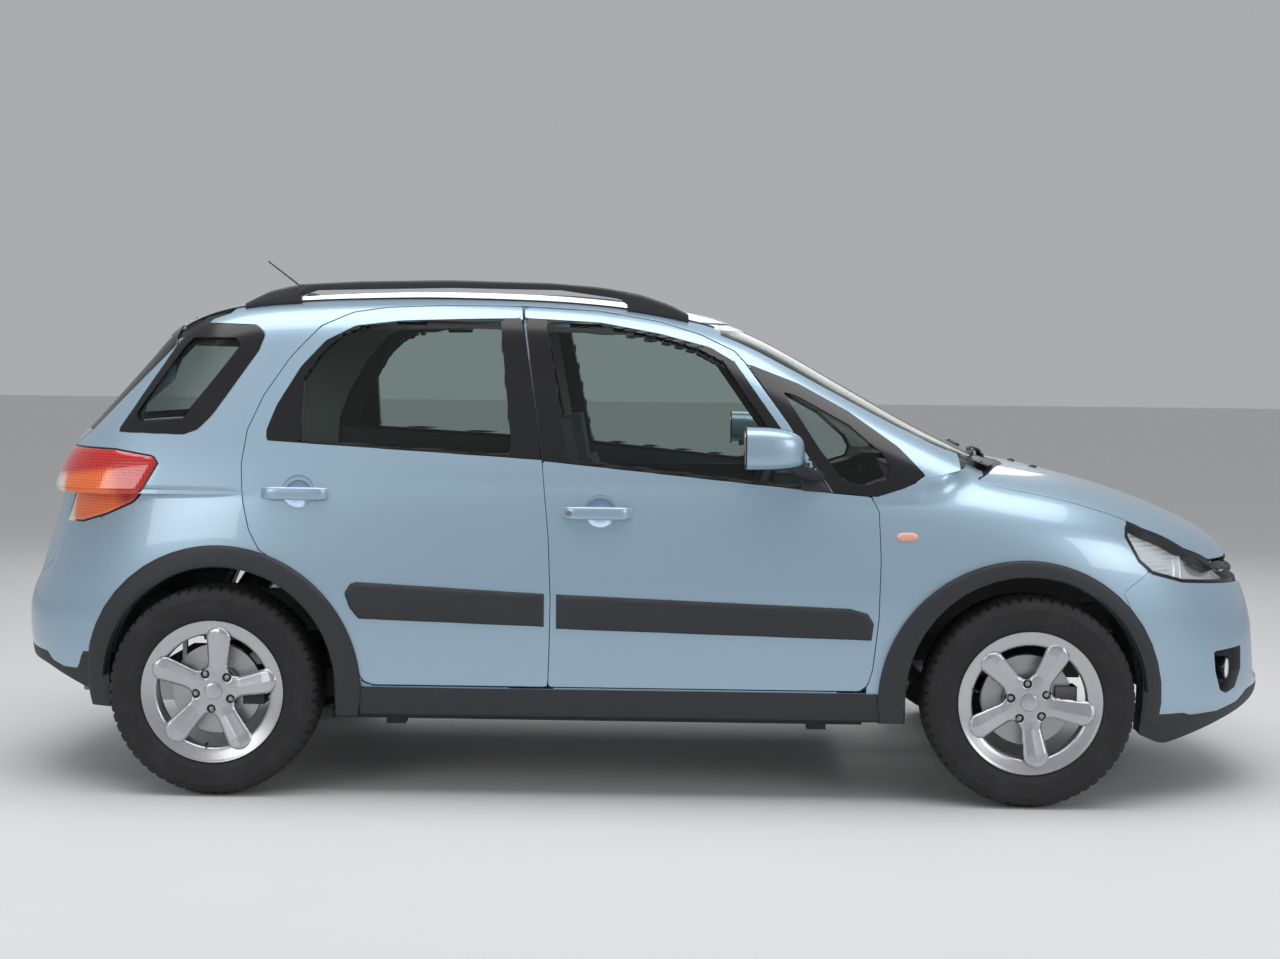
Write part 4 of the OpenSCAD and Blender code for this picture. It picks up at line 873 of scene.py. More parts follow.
NODE_FINISH = {
    "body_shell": "panel", "roof": "panel", "front_wings": "panel", "bonnet": "panel",
    "front_bumper": "panel",
    "rear_bumper": "panel", "tailgate": "panel", "fixed_glass": "glass", "tailgate_glass": "glass",
    "grille": "trim", "headlamps": "chrome", "tail_lamps": "red_lens", "cladding": "trim", "cowl": "trim",
    "roof_rails": "trim", "floor_pan": "underbody", "engine_block": "iron", "rear_axle": "chassis",
    "front_subframe": "chassis", "exhaust": "steel", "hinges": "chassis", "dashboard": "cabin",
    "seats": "cloth",
}


class FrameFinishes(bpy.types.Operator):
    """Give every frame node its finish"""
    bl_idname = "crossover.frame_finishes"
    bl_label = "Frame finishes"

    def execute(self, context):
        for name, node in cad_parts.items():
            kind = NODE_FINISH.get(name)
            if kind is None:
                for start, value in (("tyre", "rubber"), ("wheel", "alloy"), ("door", "door_panel"),
                                     ("glass", "glass"), ("fittings", "trim"), ("knuckle", "iron")):
                    if name.startswith(start):
                        kind = value
            if kind is None:
                raise RuntimeError("no finish for " + name)
            node.data.materials.clear()
            node.data.materials.append(finish(kind))
        return {"FINISHED"}


class DoorSkins(bpy.types.Operator):
    """Build the painted and black skins of the four doors"""
    bl_idname = "crossover.door_skins"
    bl_label = "Door skins"

    def execute(self, context):
        s, _ = settings()
        for row, outline, black, window in (("rear", DOOR_REAR, BLACK_REAR, GLASS_REAR),
                                            ("front", DOOR_FRONT, BLACK_FRONT, GLASS_FRONT)):
            points = chart_round(outline, 9, s.grid, above=0)
            x, y, z = axes(points)
            edge = within(outside(x, z, outline) + s.shut / 2, CANT_HALF + 32 + y)
            at = HANDLES[row]
            cup = np.hypot(x - at[0], z - at[1]) - CUP_RADIUS - 1
            dark = outside(x, z, black)
            hole = within(outside(x, z, window), GLASS_REAR_END - x)
            for side in SIDES:
                body = "door_%s_%s" % (row, SIDE_NAME[side])
                skin("skin_" + body, points, within(edge, 0.8 - dark, -cup), 9, "paint", body, side,
                     lift=s.lift)
                skin("window_frame_" + body, points, within(edge, dark + 0.8, -hole - 1.8), 24,
                     "gloss_black", body, side, THIN_CURL, s.lift)
        return {"FINISHED"}


class BodySkins(bpy.types.Operator):
    """Build the painted skins of body sides, wings, bonnet, roof, tailgate and rear bumper"""
    bl_idname = "crossover.body_skins"
    bl_label = "Body skins"

    def execute(self, context):
        s, _ = settings()
        self.lid(s)
        roof = top_chart(-1470, 330, -545, 545, 16)
        x, y, z = axes(roof)
        keep = within(np.abs(y) - 540, -1465 - x, np.where(x > 100, 1475.5 - z, FREE))
        skin("skin_roof", roof, keep, 5, "paint", lift=s.lift)
        for side in SIDES:
            self.quarter(side, s)
            self.pillar(side, s)
            self.wing(side, s)
        self.tail(s)
        return {"FINISHED"}

    def lid(self, s):
        """Bonnet: an outer skin, an inner frame with channels, and two hinge straps."""
        outer = top_chart(1025, 1945, -735, 735, s.grid, form=half_low)
        x, y, z = axes(outer)
        skin("skin_bonnet", outer, within(outside(x, y, BONNET) + s.shut / 2, BONNET_END - z), 14, "paint",
             "bonnet", lift=s.lift, hides=("bonnet",))
        inner = top_chart(1045, 1925, -715, 715, 20, 22, form=half_low)
        x, y, z = axes(inner)
        channel = 9 * np.clip(np.cos(y / 62) * 2, -0.7, 1)
        plate_sheet("bonnet_frame", raised(inner, -4 + channel),
                    within(outside(x, y, BONNET) + 26, BONNET_END - z), 3, "panel", "bonnet")
        along, up = np.cos(turns(40)), np.sin(turns(40))
        near = along < 0.1
        along, up = np.where(near, 12 * along, 95 + 9 * along), np.where(near, 12 * up, 12 + 9 * up)
        strap = loft([np.stack([BONNET_HINGE[0] + along, np.full(40, y), BONNET_HINGE[1] + up], -1)
                      for y in (-669, -657)])
        for side in SIDES:
            solid_piece("bonnet_strap_" + SIDE_NAME[side], [strap], "panel", "bonnet", side)

    def quarter(self, side, s):
        """Rear side panel round door, lamp, arch and tailgate, with its window's black frame."""
        shut, seam = s.shut / 2, s.seam / 2
        chart = ring_chart(-1915, -790, -34, 68, s.grid, count=110)
        x, y, z = axes(chart)
        gate = np.where(x < -1300, shut - outside(y, z, TAILGATE), FREE)
        black = outside(x, z, QUARTER_REAR_BLACK)
        keep = within(shut - outside(x, z, DOOR_REAR), seam - outside(x, z, REAR_BUMPER),
                      seam - outside(x, z, TAIL_LAMP), -beyond(chart, ARCH_REAR), gate, 3 - black, 352 - z,
                      y + 541)
        skin("skin_quarter_" + SIDE_NAME[side], chart, keep, 6, "paint", side=side, lift=s.lift)
        keep = within(black + 0.5, -outside(x, z, QUARTER_REAR) - 1, gate)
        skin("quarter_frame_rear_" + SIDE_NAME[side], chart, keep, 5, "gloss_black", "body", side,
             THIN_CURL, s.lift)

    def pillar(self, side, s):
        """Pillar and cant rail between doors, windscreen and roof, with the quarter window's frame."""
        shut, seam = s.shut / 2, s.seam / 2
        chart = ring_chart(-810, 1100, 7.5, 68, s.grid, count=110)
        x, y, z = axes(chart)
        door = shut - outside(x, z, DOOR_FRONT)
        black = outside(x, z, QUARTER_FRONT_BLACK)
        keep = within(shut - outside(x, z, DOOR_REAR), door, wing_top(x) + seam - z,
                      np.where(x > 240, seam - outside(y, z, SCREEN), FREE),
                      np.where(x < 330, y + 541, FREE), 956 - z, 1 - black)
        skin("skin_pillar_" + SIDE_NAME[side], chart, keep, 6, "paint", side=side, lift=s.lift)
        keep = within(black + 0.6, -outside(x, z, QUARTER_FRONT) - 1, door)
        skin("quarter_frame_front_" + SIDE_NAME[side], chart, keep, 5, "gloss_black", "body", side,
             THIN_CURL, s.lift)

    def wing(self, side, s):
        """Front wing: the lower body's form, which near its top rear corner eases out to the pillar."""
        shut, seam = s.shut / 2, s.seam / 2
        x, _, z = axes(side_chart(690, 1620, 330, 1045, 9))
        foot = height([(700, 946), (804, 971), (873, 1002), (940, 1017), (1010, 1030), (1100, 1036)], x)
        rise = eased((z - foot + 95) / 95, (1120 - x) / 190)
        full = half(x, z)
        low = np.where(x < 740, full, half_low(x, z, 0.0))
        y = -(low + (full - low) * rise)
        chart = np.stack([x, y, z], -1)
        keep = within(shut - outside(x, z, DOOR_FRONT), seam - outside(x, z, FRONT_BUMPER),
                      seam - outside(x, z, HEADLAMP), outside(x, z, WING) + seam, z + seam - wing_top(x),
                      -beyond(chart, ARCH_FRONT), shut - outside(x, y, BONNET), 640.5 + y)
        skin("skin_wing_" + SIDE_NAME[side], chart, keep, 8, "paint", side=side, lift=s.lift)

    def tail(self, s):
        """Rear bumper, and the tailgate with the black glass band round its window."""
        shut, seam = s.shut / 2, s.seam / 2
        chart = end_chart(REAR_MIDDLE, 100, 260, 260, 880, size=9, count=200)
        x, y, z = axes(chart)
        keep = within(outside(x, z, REAR_BUMPER) + seam, seam - outside(x, z, TAIL_LAMP),
                      -beyond(chart, ARCH_REAR), shut - outside(y, z, TAILGATE),
                      height(REAR_VALANCE_EDGE, x) + 0.8 - z)
        skin("skin_rear_bumper", chart, keep, 8, "paint", lift=s.lift)
        chart = end_chart(-1000, 128, 232, 640, 1500, size=12, count=120)
        x, y, z = axes(chart)
        gate = within(outside(y, z, TAILGATE) + shut, x + 1474)
        band = within(1118 - z, z - 1446)
        skin("skin_tailgate", chart, within(gate, 0.8 - band), 8, "paint", "tailgate", lift=s.lift + 1.6)
        keep = within(gate, band + 0.8, -1.5 - outside(y, z, REAR_WINDOW))
        skin("tailgate_window_frame", chart, keep, 16, "gloss_black", "tailgate", curl=THIN_CURL,
             lift=s.lift)


class Windows(bpy.types.Operator):
    """Build the smooth panes of doors, quarters, windscreen and tailgate, with their seals"""
    bl_idname = "crossover.windows"
    bl_label = "Windows"

    def execute(self, context):
        for row, outline in (("rear", GLASS_REAR), ("front", GLASS_FRONT)):
            pane = chart_round(outline, 9, 13, GLASS_DEPTH)
            x, _, z = axes(pane)
            d = within(outside(x, z, outline), GLASS_REAR_END - x)
            for side in SIDES:
                name = "%s_%s" % (row, SIDE_NAME[side])
                body = "door_" + name
                plate_sheet("window_pane_" + name, pane, d + 0.4, 4, "glass", body, side, ("glass_" + name,))
                plate_sheet("window_seal_" + name, pane, within(d - 1.5, -d - 6.5), 3.5, "rubber_seal",
                            body, side, lift=5.5)
        rear = ring_chart(-1640, -1200, 20, 66, 12, GLASS_DEPTH, 60)
        front = side_chart(420, 790, 965, 1280, 9, GLASS_DEPTH)
        for side in SIDES:
            for label, pane, outline in (("rear", rear, QUARTER_REAR), ("front", front, QUARTER_FRONT)):
                x, _, z = axes(pane)
                plate_sheet("quarter_pane_%s_%s" % (label, SIDE_NAME[side]), pane, outside(x, z, outline)
                            - 6.5, 4, "glass", "body", side, ("fixed_glass",))
        screen = straight_chart(-700, 700, 1030, 1480, -300, 1, 14, GLASS_DEPTH)
        back = straight_chart(-620, 620, 1110, 1430, -900, -1, 12, GLASS_DEPTH)
        for name, body, node, pane, outline, thick, border, lip in (
                ("windscreen", "body", "fixed_glass", screen, SCREEN, 5, 26, 7),
                ("tailgate_pane", "tailgate", "tailgate_glass", back, REAR_WINDOW, 4, 30, 6)):
            _, y, z = axes(pane)
            d = outside(y, z, outline)
            plate_sheet(name, pane, d + 0.5, thick, "glass", body, hides=(node,))
            plate_sheet(name + "_border", pane, within(d + 0.5, -border - d), 1.2, "gloss_black", body,
                        lift=0.7)
            plate_sheet(name + "_seal", pane, within(d - 0.5, -d - lip), 3, "rubber_seal", body, lift=6)
        return {"FINISHED"}


AXLES = {"front": (1187.0, 60.0), "rear": (-1313.0, 82.0)}  # place of each axle and the turn of its spokes
AXLE_HEIGHT, HALF_TRACK = 324.0, 748.0
CORNERS = [(row, side) for row in ("front", "rear") for side in SIDES]
SPOKES, NUT_CIRCLE = 5, 57.15
# Rim section as radius and place along the axle, from the lip over the outer face, the barrel and back
RIM = [(219.5, 88.5), (219.9, 91.2), (218.6, 92.6), (216.5, 92.2), (214, 90.4), (208, 88.4), (200, 85.6),
       (191, 82.4), (182, 79.2), (177, 76), (174.6, 71), (174.5, 60), (174.8, 44), (178, 36), (183, 10),
       (199, -14), (205, -40), (207.6, -80), (214, -86), (216, -84), (213, -60), (212.5, -20), (194, 0),
       (190, 12), (191, 44), (214, 62), (215.8, 80)]
# Tyre section as radius and place along the axle, from the outer bead to the tread's middle
TYRE = [(215.9, 84), (217.5, 86.5), (220.5, 87.6), (224, 90), (230, 93.6), (236, 96.4), (240, 97.6),
        (241, 98.8), (246, 99.9), (247, 99.3), (256, 101.4), (266, 102.4), (276, 102.5), (284, 101.8),
        (285, 102.3), (290, 101.6), (291, 100.8), (298, 98.6), (304, 95.4), (309, 92), (313.5, 87.5),
        (317, 82), (319.6, 76), (321.6, 68), (322.4, 60), (322.8, 50.6), (322.8, 49.8), (323, 42.4),
        (323, 41.8), (323.4, 34), (323.6, 26), (323.8, 18.4), (323.8, 17.8), (324, 10.6), (324, 10),
        (324, 0)]
TREAD_PITCHES = 60


def placed(verts, row, side):
    """A right wheel's mesh, put at a corner of the car; a left one is turned half round along the car."""
    verts = verts + [AXLES[row][0], -HALF_TRACK, AXLE_HEIGHT]
    return verts if side == RIGHT else verts * [1, -1, -1] + [0, 0, 2 * AXLE_HEIGHT]


def nut_place(turn, k):
    """Place along and up of wheel nut k, midway between two spokes."""
    a = math.radians(turn - 36 + 72 * k)
    return NUT_CIRCLE * math.cos(a), NUT_CIRCLE * math.sin(a)


def wheel_face(turn):
    """Spokes and hub: a height over a flat grid, dished to the rim, ridged along spokes, round at edges."""
    g = np.linspace(-206, 206, 135)
    x, z = np.meshgrid(g, g, indexing="ij")
    r = np.hypot(x, z)
    arms, pits, ridge = np.full_like(r, 1e3), np.full_like(r, 1e3), np.zeros_like(r)
    for k in range(SPOKES):
        a = math.radians(turn + 72 * k)
        u = x * math.cos(a) + z * math.sin(a)
        v = z * math.cos(a) - x * math.sin(a)
        v = v - 7 * (np.clip(u - 40, 0, 200) / 150) ** 2
        wide = 29 + 9 * np.clip((u - 70) / 100, 0, 1)
        d = np.hypot(v, np.maximum(np.maximum(u - 165, 50 - u), 0)) - wide
        ridge = np.where((d < arms) & (u > 0), v, ridge)
        arms = np.minimum(arms, d)
        nut = nut_place(turn, k)
        pits = np.minimum(pits, np.hypot(x - nut[0], z - nut[1]) - 14)
    # spokes and hub meet in a fillet
    hub, fillet = r - 66, 30
    h = np.clip(0.5 + 0.5 * (hub - arms) / fillet, 0, 1)
    d = hub * (1 - h) + arms * h - fillet * h * (1 - h)
    dish = np.interp(r, [0, 34, 60, 84, 120, 160, 185, 206], [71, 71, 71.5, 74, 82, 91, 93, 88.5])
    fade = np.clip((r - 48) / 40, 0, 1)
    dish = dish - fade * (0.2 * np.maximum(ridge + 4, 0) + 0.1 * np.maximum(-ridge - 4, 0))
    dish = dish - 6 * np.clip(1 + d / 9, 0, 1) ** 2.2 - 2.5 * np.clip(1 - pits / 4, 0, 1) ** 2
    v, n, f = trim(np.stack([x, -dish, z], -1), within(d, -pits, 27.5 - r))
    if n[:, 1].mean() > 0:
        n, f = -n, f[:, ::-1]
    v, _, f = rolled(v, n, f, 34, THIN_CURL)
    return v, f


class Wheels(bpy.types.Operator):
    """Build the four alloy wheels with nuts, caps, valves and brake discs"""
    bl_idname = "crossover.wheels"
    bl_label = "Wheels"

    def execute(self, context):
        rim = lathe(RIM, 144)
        hub_cap = lathe([(0.01, 76.5), (8, 76.4), (16, 75.9), (22, 75), (25.6, 73.6), (26.8, 71), (26.8, 60),
                         (0.01, 60)], 48)
        hub = lathe([(29, 66), (29, 30), (62, 30), (62, 64)], 48)
        disc = lathe([(70, 22), (139, 22), (139.8, 21), (139.8, 14.2), (112, 14), (112, 8), (139.8, 7.8),
                      (139.8, 1), (139, 0), (70, 0)], 96)
        bell = lathe([(24, 34), (66, 34), (71, 31), (73, 22.5), (73, 0), (24, 0)], 64)
        pit_floor = lathe([(40, 50), (74, 50), (74, 46), (40, 46)], 48)
        nut = lathe([(0.01, 69.5), (4, 69.3), (7, 68), (8.6, 66), (9.8, 64), (9.8, 48), (0.01, 48)], 6)
        collar = lathe([(9, 53), (12.6, 53), (13.4, 51), (13.4, 48), (9, 48)], 24)
        for row, side in CORNERS:
            turn = AXLES[row][1]
            name = "%s_%s" % (row, SIDE_NAME[side])
            nuts = []
            for k in range(SPOKES):
                along, up = nut_place(turn, k)
                nuts += [(part[0] + [along, 0, up], part[1]) for part in (nut, collar)]
            valve_at = math.radians(turn + (180 if row == "rear" else 108))
            c, d = math.cos(valve_at), math.sin(valve_at)
            path = [(r * c, y, r * d) for r, y in ((168, -60), (168, -72), (165, -84), (163, -90))]
            valve = sweep(path, oval(3.6, 3.6, 2, 12), [1.2, 1, 1, 0.7], up=(c, 0.0, d))
            for label, parts, look, sharp, hides in (
                    ("alloy_wheel_", [rim, wheel_face(turn), hub_cap], "alloy", 42, ("wheel_" + name,)),
                    ("brake_disc_", [disc, bell], "steel", 30, ()),
                    ("wheel_hub_", [hub, pit_floor], "chassis", 30, ()),
                    ("wheel_nuts_", nuts, "nut_steel", 30, ()),
                    ("tyre_valve_", [valve], "trim", 60, ())):
                verts, faces = joined([(placed(v, row, side), f) for v, f in parts])
                dress(mesh_object(label + name, verts, faces, sharp=sharp), look, "wheel_" + name, hides)
        return {"FINISHED"}


class Tyres(bpy.types.Operator):
    """Build the four tyres with their grooves, shoulder blocks and sidewall rings"""
    bl_idname = "crossover.tyres"
    bl_label = "Tyres"

    def execute(self, context):
        outer = np.array(TYRE)
        section = np.concatenate([outer, (outer * [1, -1])[-2::-1]])
        count = TREAD_PITCHES * 5
        radius, along = (np.repeat(section[None, :, k], count, 0) for k in (0, 1))
        phase = (turns(count)[:, None] * TREAD_PITCHES / (2 * np.pi) + 0.35 * np.sin(along / 16)) % 1
        wide = np.abs(along)
        tread = radius > 312
        ring = (((wide > 41.9) & (wide < 50)) | ((wide > 10.2) & (wide < 18))) & tread
        slot = tread & (phase > 0.8) & (wide > 18)
        rib = (phase > 0.55) & (radius > 303) & (radius < 318) & ~tread
        verts, faces = wheel_rings(radius - np.where(ring | slot, 6.5, 0) - np.where(rib, 1.2, 0), along)
        for row, side in CORNERS:
            name = "%s_%s" % (row, SIDE_NAME[side])
            piece = mesh_object("treaded_tyre_" + name, placed(verts, row, side), faces, sharp=40)
            dress(piece, "rubber", "wheel_" + name, ("tyre_" + name,))
        return {"FINISHED"}


# Lower edges of the painted bumpers, in stations and heights
VALANCE_EDGE = [(1540, 276), (1697, 276), (1723, 267), (1824, 269), (1903, 289), (1949, 322), (2100, 335)]
REAR_VALANCE_EDGE = [(-2100, 420), (-1884, 409), (-1862, 384), (-1814, 369), (-1758, 370), (-1738, 427),
                     (-1540, 427)]
# Section of an arch ring: share of the way from its inner to its outer circle, and height over the skin
ARCH_SECTION = [(0.0, -62.0), (0.0, -8.0), (0.0, 8.0), (0.035, 13.5), (0.1, 16.4), (0.3, 17.3), (0.6, 17.2),
                (0.86, 16.8), (0.94, 14.5), (0.985, 9.0), (1.0, 1.0), (1.0, -6.0)]
# Section of a sill strip: height, and distance over the skin
SILL_SECTION = [(344, -4), (343, 6.6), (338, 8.4), (300, 8.2), (270, 7.8), (261, 5.4), (257, -2), (259, -70)]


def skin_y(x, z, out=0.0):
    """Place across the car of the right skin, moved outwards with the form or straight inwards."""
    return -half(np.asarray(x, float), np.asarray(z, float), -max(out, 0.0)) - min(out, 0.0)


def arch_ring(arch, ring, first, last):
    """Cladding round a wheel opening: a rounded section carried from angle first to last round the arch."""
    angles = np.linspace(math.radians(first), math.radians(last), 90)
    c, d = np.cos(angles), np.sin(angles)
    outer = np.stack([ring[0] + ring[2] * c, ring[1] + ring[2] * d], -1)
    inner = np.stack([arch[0] + (arch[2] - 1.6) * np.where(d < 0, np.sign(c), c),
                      arch[1] + (arch[2] - 1.6) * np.maximum(d, 0)], -1)
    drop = outer[:, 1] + (arch[1] - ring[1]) * (1 + d / abs(min(d.min(), -1e-6)))
    inner[:, 1] = np.where(d < 0, drop, inner[:, 1])
    rows = []
    for share, out in ARCH_SECTION:
        x, z = (inner * (1 - share) + outer * share).T
        rows.append(np.stack([x + SHIFT, skin_y(x, z, out), z], -1))
    return loft(np.stack(rows, 1))


class Cladding(bpy.types.Operator):
    """Build the black arch rings, sill strips, lower bumper edges and arch liners"""
    bl_idname = "crossover.cladding"
    bl_label = "Cladding"

    def execute(self, context):
        x = np.linspace(-850, 742, 60)
        sill = loft(np.stack([np.stack([x + SHIFT, skin_y(x, np.full_like(x, z), out), np.full_like(x, z)],
                                       -1) for z, out in SILL_SECTION], 1))
        rear = arch_ring(ARCH_REAR, CLAD_REAR, -10.8, 190.5)
        front = arch_ring(ARCH_FRONT, CLAD_FRONT, -8.4, 188.6)
        a = np.radians(np.linspace(2, 178, 60))
        for side in SIDES:
            name = SIDE_NAME[side]
            for label, part in (("arch_ring_rear_", rear), ("arch_ring_front_", front),
                                ("sill_strip_", sill)):
                solid_piece(label + name, [part], "trim", side=side)
            for label, arch, reach, inner in (("front", ARCH_FRONT, 371, 470),
                                              ("rear", ARCH_REAR, 362, 572)):
                rings = []
                for radius, y in ((reach, inner), (reach, 828), (reach + 3, 828), (reach + 3, inner)):
                    rings.append(np.stack([arch[0] + SHIFT + radius * np.cos(a), np.full_like(a, -y),
                                           arch[1] + radius * np.sin(a)], -1))
                liner = loft(np.stack(rings, 1))
                solid_piece("arch_liner_%s_%s" % (label, name), [liner], "underbody", side=side)
        front = end_chart(FRONT_MIDDLE, -80, 80, 172, 345, size=8, count=220)
        rear = end_chart(REAR_MIDDLE, 100, 260, 262, 432, size=8, count=200)
        for label, chart, bumper, arch, edge in (
                ("front", front, FRONT_BUMPER, ARCH_FRONT, VALANCE_EDGE),
                ("rear", rear, REAR_BUMPER, ARCH_REAR, REAR_VALANCE_EDGE)):
            x, _, z = axes(chart)
            keep = within(z - height(edge, x), outside(x, z, bumper) + 0.8, -beyond(chart, arch),
                          line("under", x) + 2 - z)
            skin("valance_" + label, chart, keep, 12, "trim", curl=2.0, lift=1.2)
        return {"FINISHED"}


HANDLES = {"front": (-116, 893), "rear": (-1041, 942)}
CUP_RADIUS = 50.0
MOULDINGS = {
    "rear": [(-894, 636), (-876, 665), (-858, 670), (-284, 641), (-284, 540), (-851, 557), (-879, 592)],
    "front": [(-247, 640), (190, 624), (645, 608), (700, 593), (718, 562), (712, 511), (-247, 534)],
}
MIRROR = (322 + SHIFT, -933, 1095)  # middle of the right mirror's open back
MIRROR_BASE = [(500, 962), (588, 957), (488, 1068), (470, 1040)]


def across_loop(place, loop):
    """A loop (across, up) round a place, standing across the car."""
    return np.stack([np.full(len(loop), place[0]), place[1] + loop[:, 0], place[2] + loop[:, 1]], -1)


def handle_bar(at):
    """A grip: a rounded section carried in a low bridge from skin to skin."""
    u = np.linspace(-1, 1, 41)
    x = at[0] - 10 + 108 * u
    z = np.full_like(x, at[1] - 5)
    y = skin_y(x, z) - (21 - 30 * np.abs(u) ** 7)
    size = 0.8 + 0.2 * (1 - np.abs(u) ** 5)
    places = np.stack([x + SHIFT, y, z], -1)
    return loft([across_loop(place, oval(9, 19.5, 2.8, 24) * k) for place, k in zip(places, size)])


class DoorFittings(bpy.types.Operator):
    """Build mirrors, handles with their cups, and the side mouldings"""
    bl_idname = "crossover.door_fittings"
    bl_label = "Door fittings"

    def execute(self, context):
        for row in ("front", "rear"):
            outline, at = MOULDINGS[row], HANDLES[row]
            strip = chart_round(outline, 6, 7, above=6)
            x, _, z = axes(strip)
            d = outside(x, z, outline)
            bowed = raised(strip, 1.5 + crown(d, 8.5, 16) + 2.5 * np.clip(-d / 60, 0, 1))
            rho, phi = np.meshgrid(np.linspace(0.5, CUP_RADIUS + 5, 26), np.linspace(0, 2 * np.pi, 61),
                                   indexing="ij")
            x, z = at[0] + rho * np.cos(phi), at[1] + rho * np.sin(phi)
            dish = 19 * (1 - np.clip(rho / CUP_RADIUS, 0, 1) ** 2.6)
            cup = np.stack([x, skin_y(x, z, 0.7) + dish, z], -1)
            x, z = at[0] - 96, at[1] - 5
            y = float(skin_y(x, z)) - 21
            lock = sweep([[x + SHIFT, y + 2, z], [x + SHIFT, y - 11, z]], oval(8, 8, 2, 24))
            for side in SIDES:
                name = "%s_%s" % (row, SIDE_NAME[side])
                body = "door_" + name
                skin("moulding_" + name, bowed, d + 0.8, 9, "trim", body, side, 1.5,
                     hides=("fittings_" + name,))
                skin("handle_cup_" + name, cup, rho - CUP_RADIUS - 4, 0, "paint", body, side)
                solid_piece("handle_" + name, [handle_bar(at)], "paint", body, side, 60)
                if row == "front":
                    solid_piece("handle_lock_" + name, [lock], "nut_steel", body, side, 40)
        for side in SIDES:
            self.mirror(side)
        return {"FINISHED"}

    def mirror(self, side):
        """A housing of rounded loops, flatter below, from its open back; glass in a rim; a foot."""
        name = "front_" + SIDE_NAME[side]
        body = "door_" + name
        shares = np.linspace(0, 1, 26)
        sizes = cap(shares, 2.7)
        sizes[-1] = 0.04
        shell = []
        for share, size in zip(shares, sizes):
            loop = oval(80, 63, 3.4, 36)
            loop[:, 1] *= np.where(loop[:, 1] > 0, size, 0.55 + 0.45 * size)
            loop[:, 0] *= size
            shell.append(across_loop(np.array(MIRROR) + [174 * share, 14 * share, 0], loop))
        solid_piece("mirror_housing_" + name, [loft(shell)], "paint", body, side, 50)
        rim = [across_loop(np.array(MIRROR) + [back, 0, 0], oval(80 * size, 63 * size, 3.4, 36))
               for size, back in ((1.0, 0.0), (1.0, -5.0), (0.9, -5.0), (0.88, 3.0))]
        solid_piece("mirror_rim_" + name, [loft(rim)], "trim", body, side, 40)
        glass = [across_loop(np.array(MIRROR) + [back, 0, 0], oval(70, 54, 3.2, 36))
                 for back in (-2.5, -6.0)]
        solid_piece("mirror_glass_" + name, [loft(glass)], "chrome", body, side, 40)
        corner = side_chart(470, 600, 950, 1062, 6)
        keep = outside(corner[..., 0], corner[..., 2], MIRROR_BASE)
        skin("mirror_base_" + name, raised(corner, 2.0 + crown(keep, 4, 12)), keep, 6, "trim", body, side, 1)
        path = smooth_path([(545, -775, 1000), (525, -800, 1006), (478, -862, 1030), (452, -905, 1052)], 16)
        foot = sweep(path + [SHIFT, 0, 0], oval(27, 17, 2.6, 24), np.linspace(1.25, 0.85, 16))
        solid_piece("mirror_foot_" + name, [foot], "trim", body, side, 50)
        edge = sweep(np.array([[505, -868, 1036], [350, -868, 1036]]) + [SHIFT, 0, 0], oval(13, 9, 3, 20),
                     [0.5, 1.0])
        solid_piece("mirror_edge_" + name, [edge], "trim", body, side, 50)


REPEATER = (816, 827)


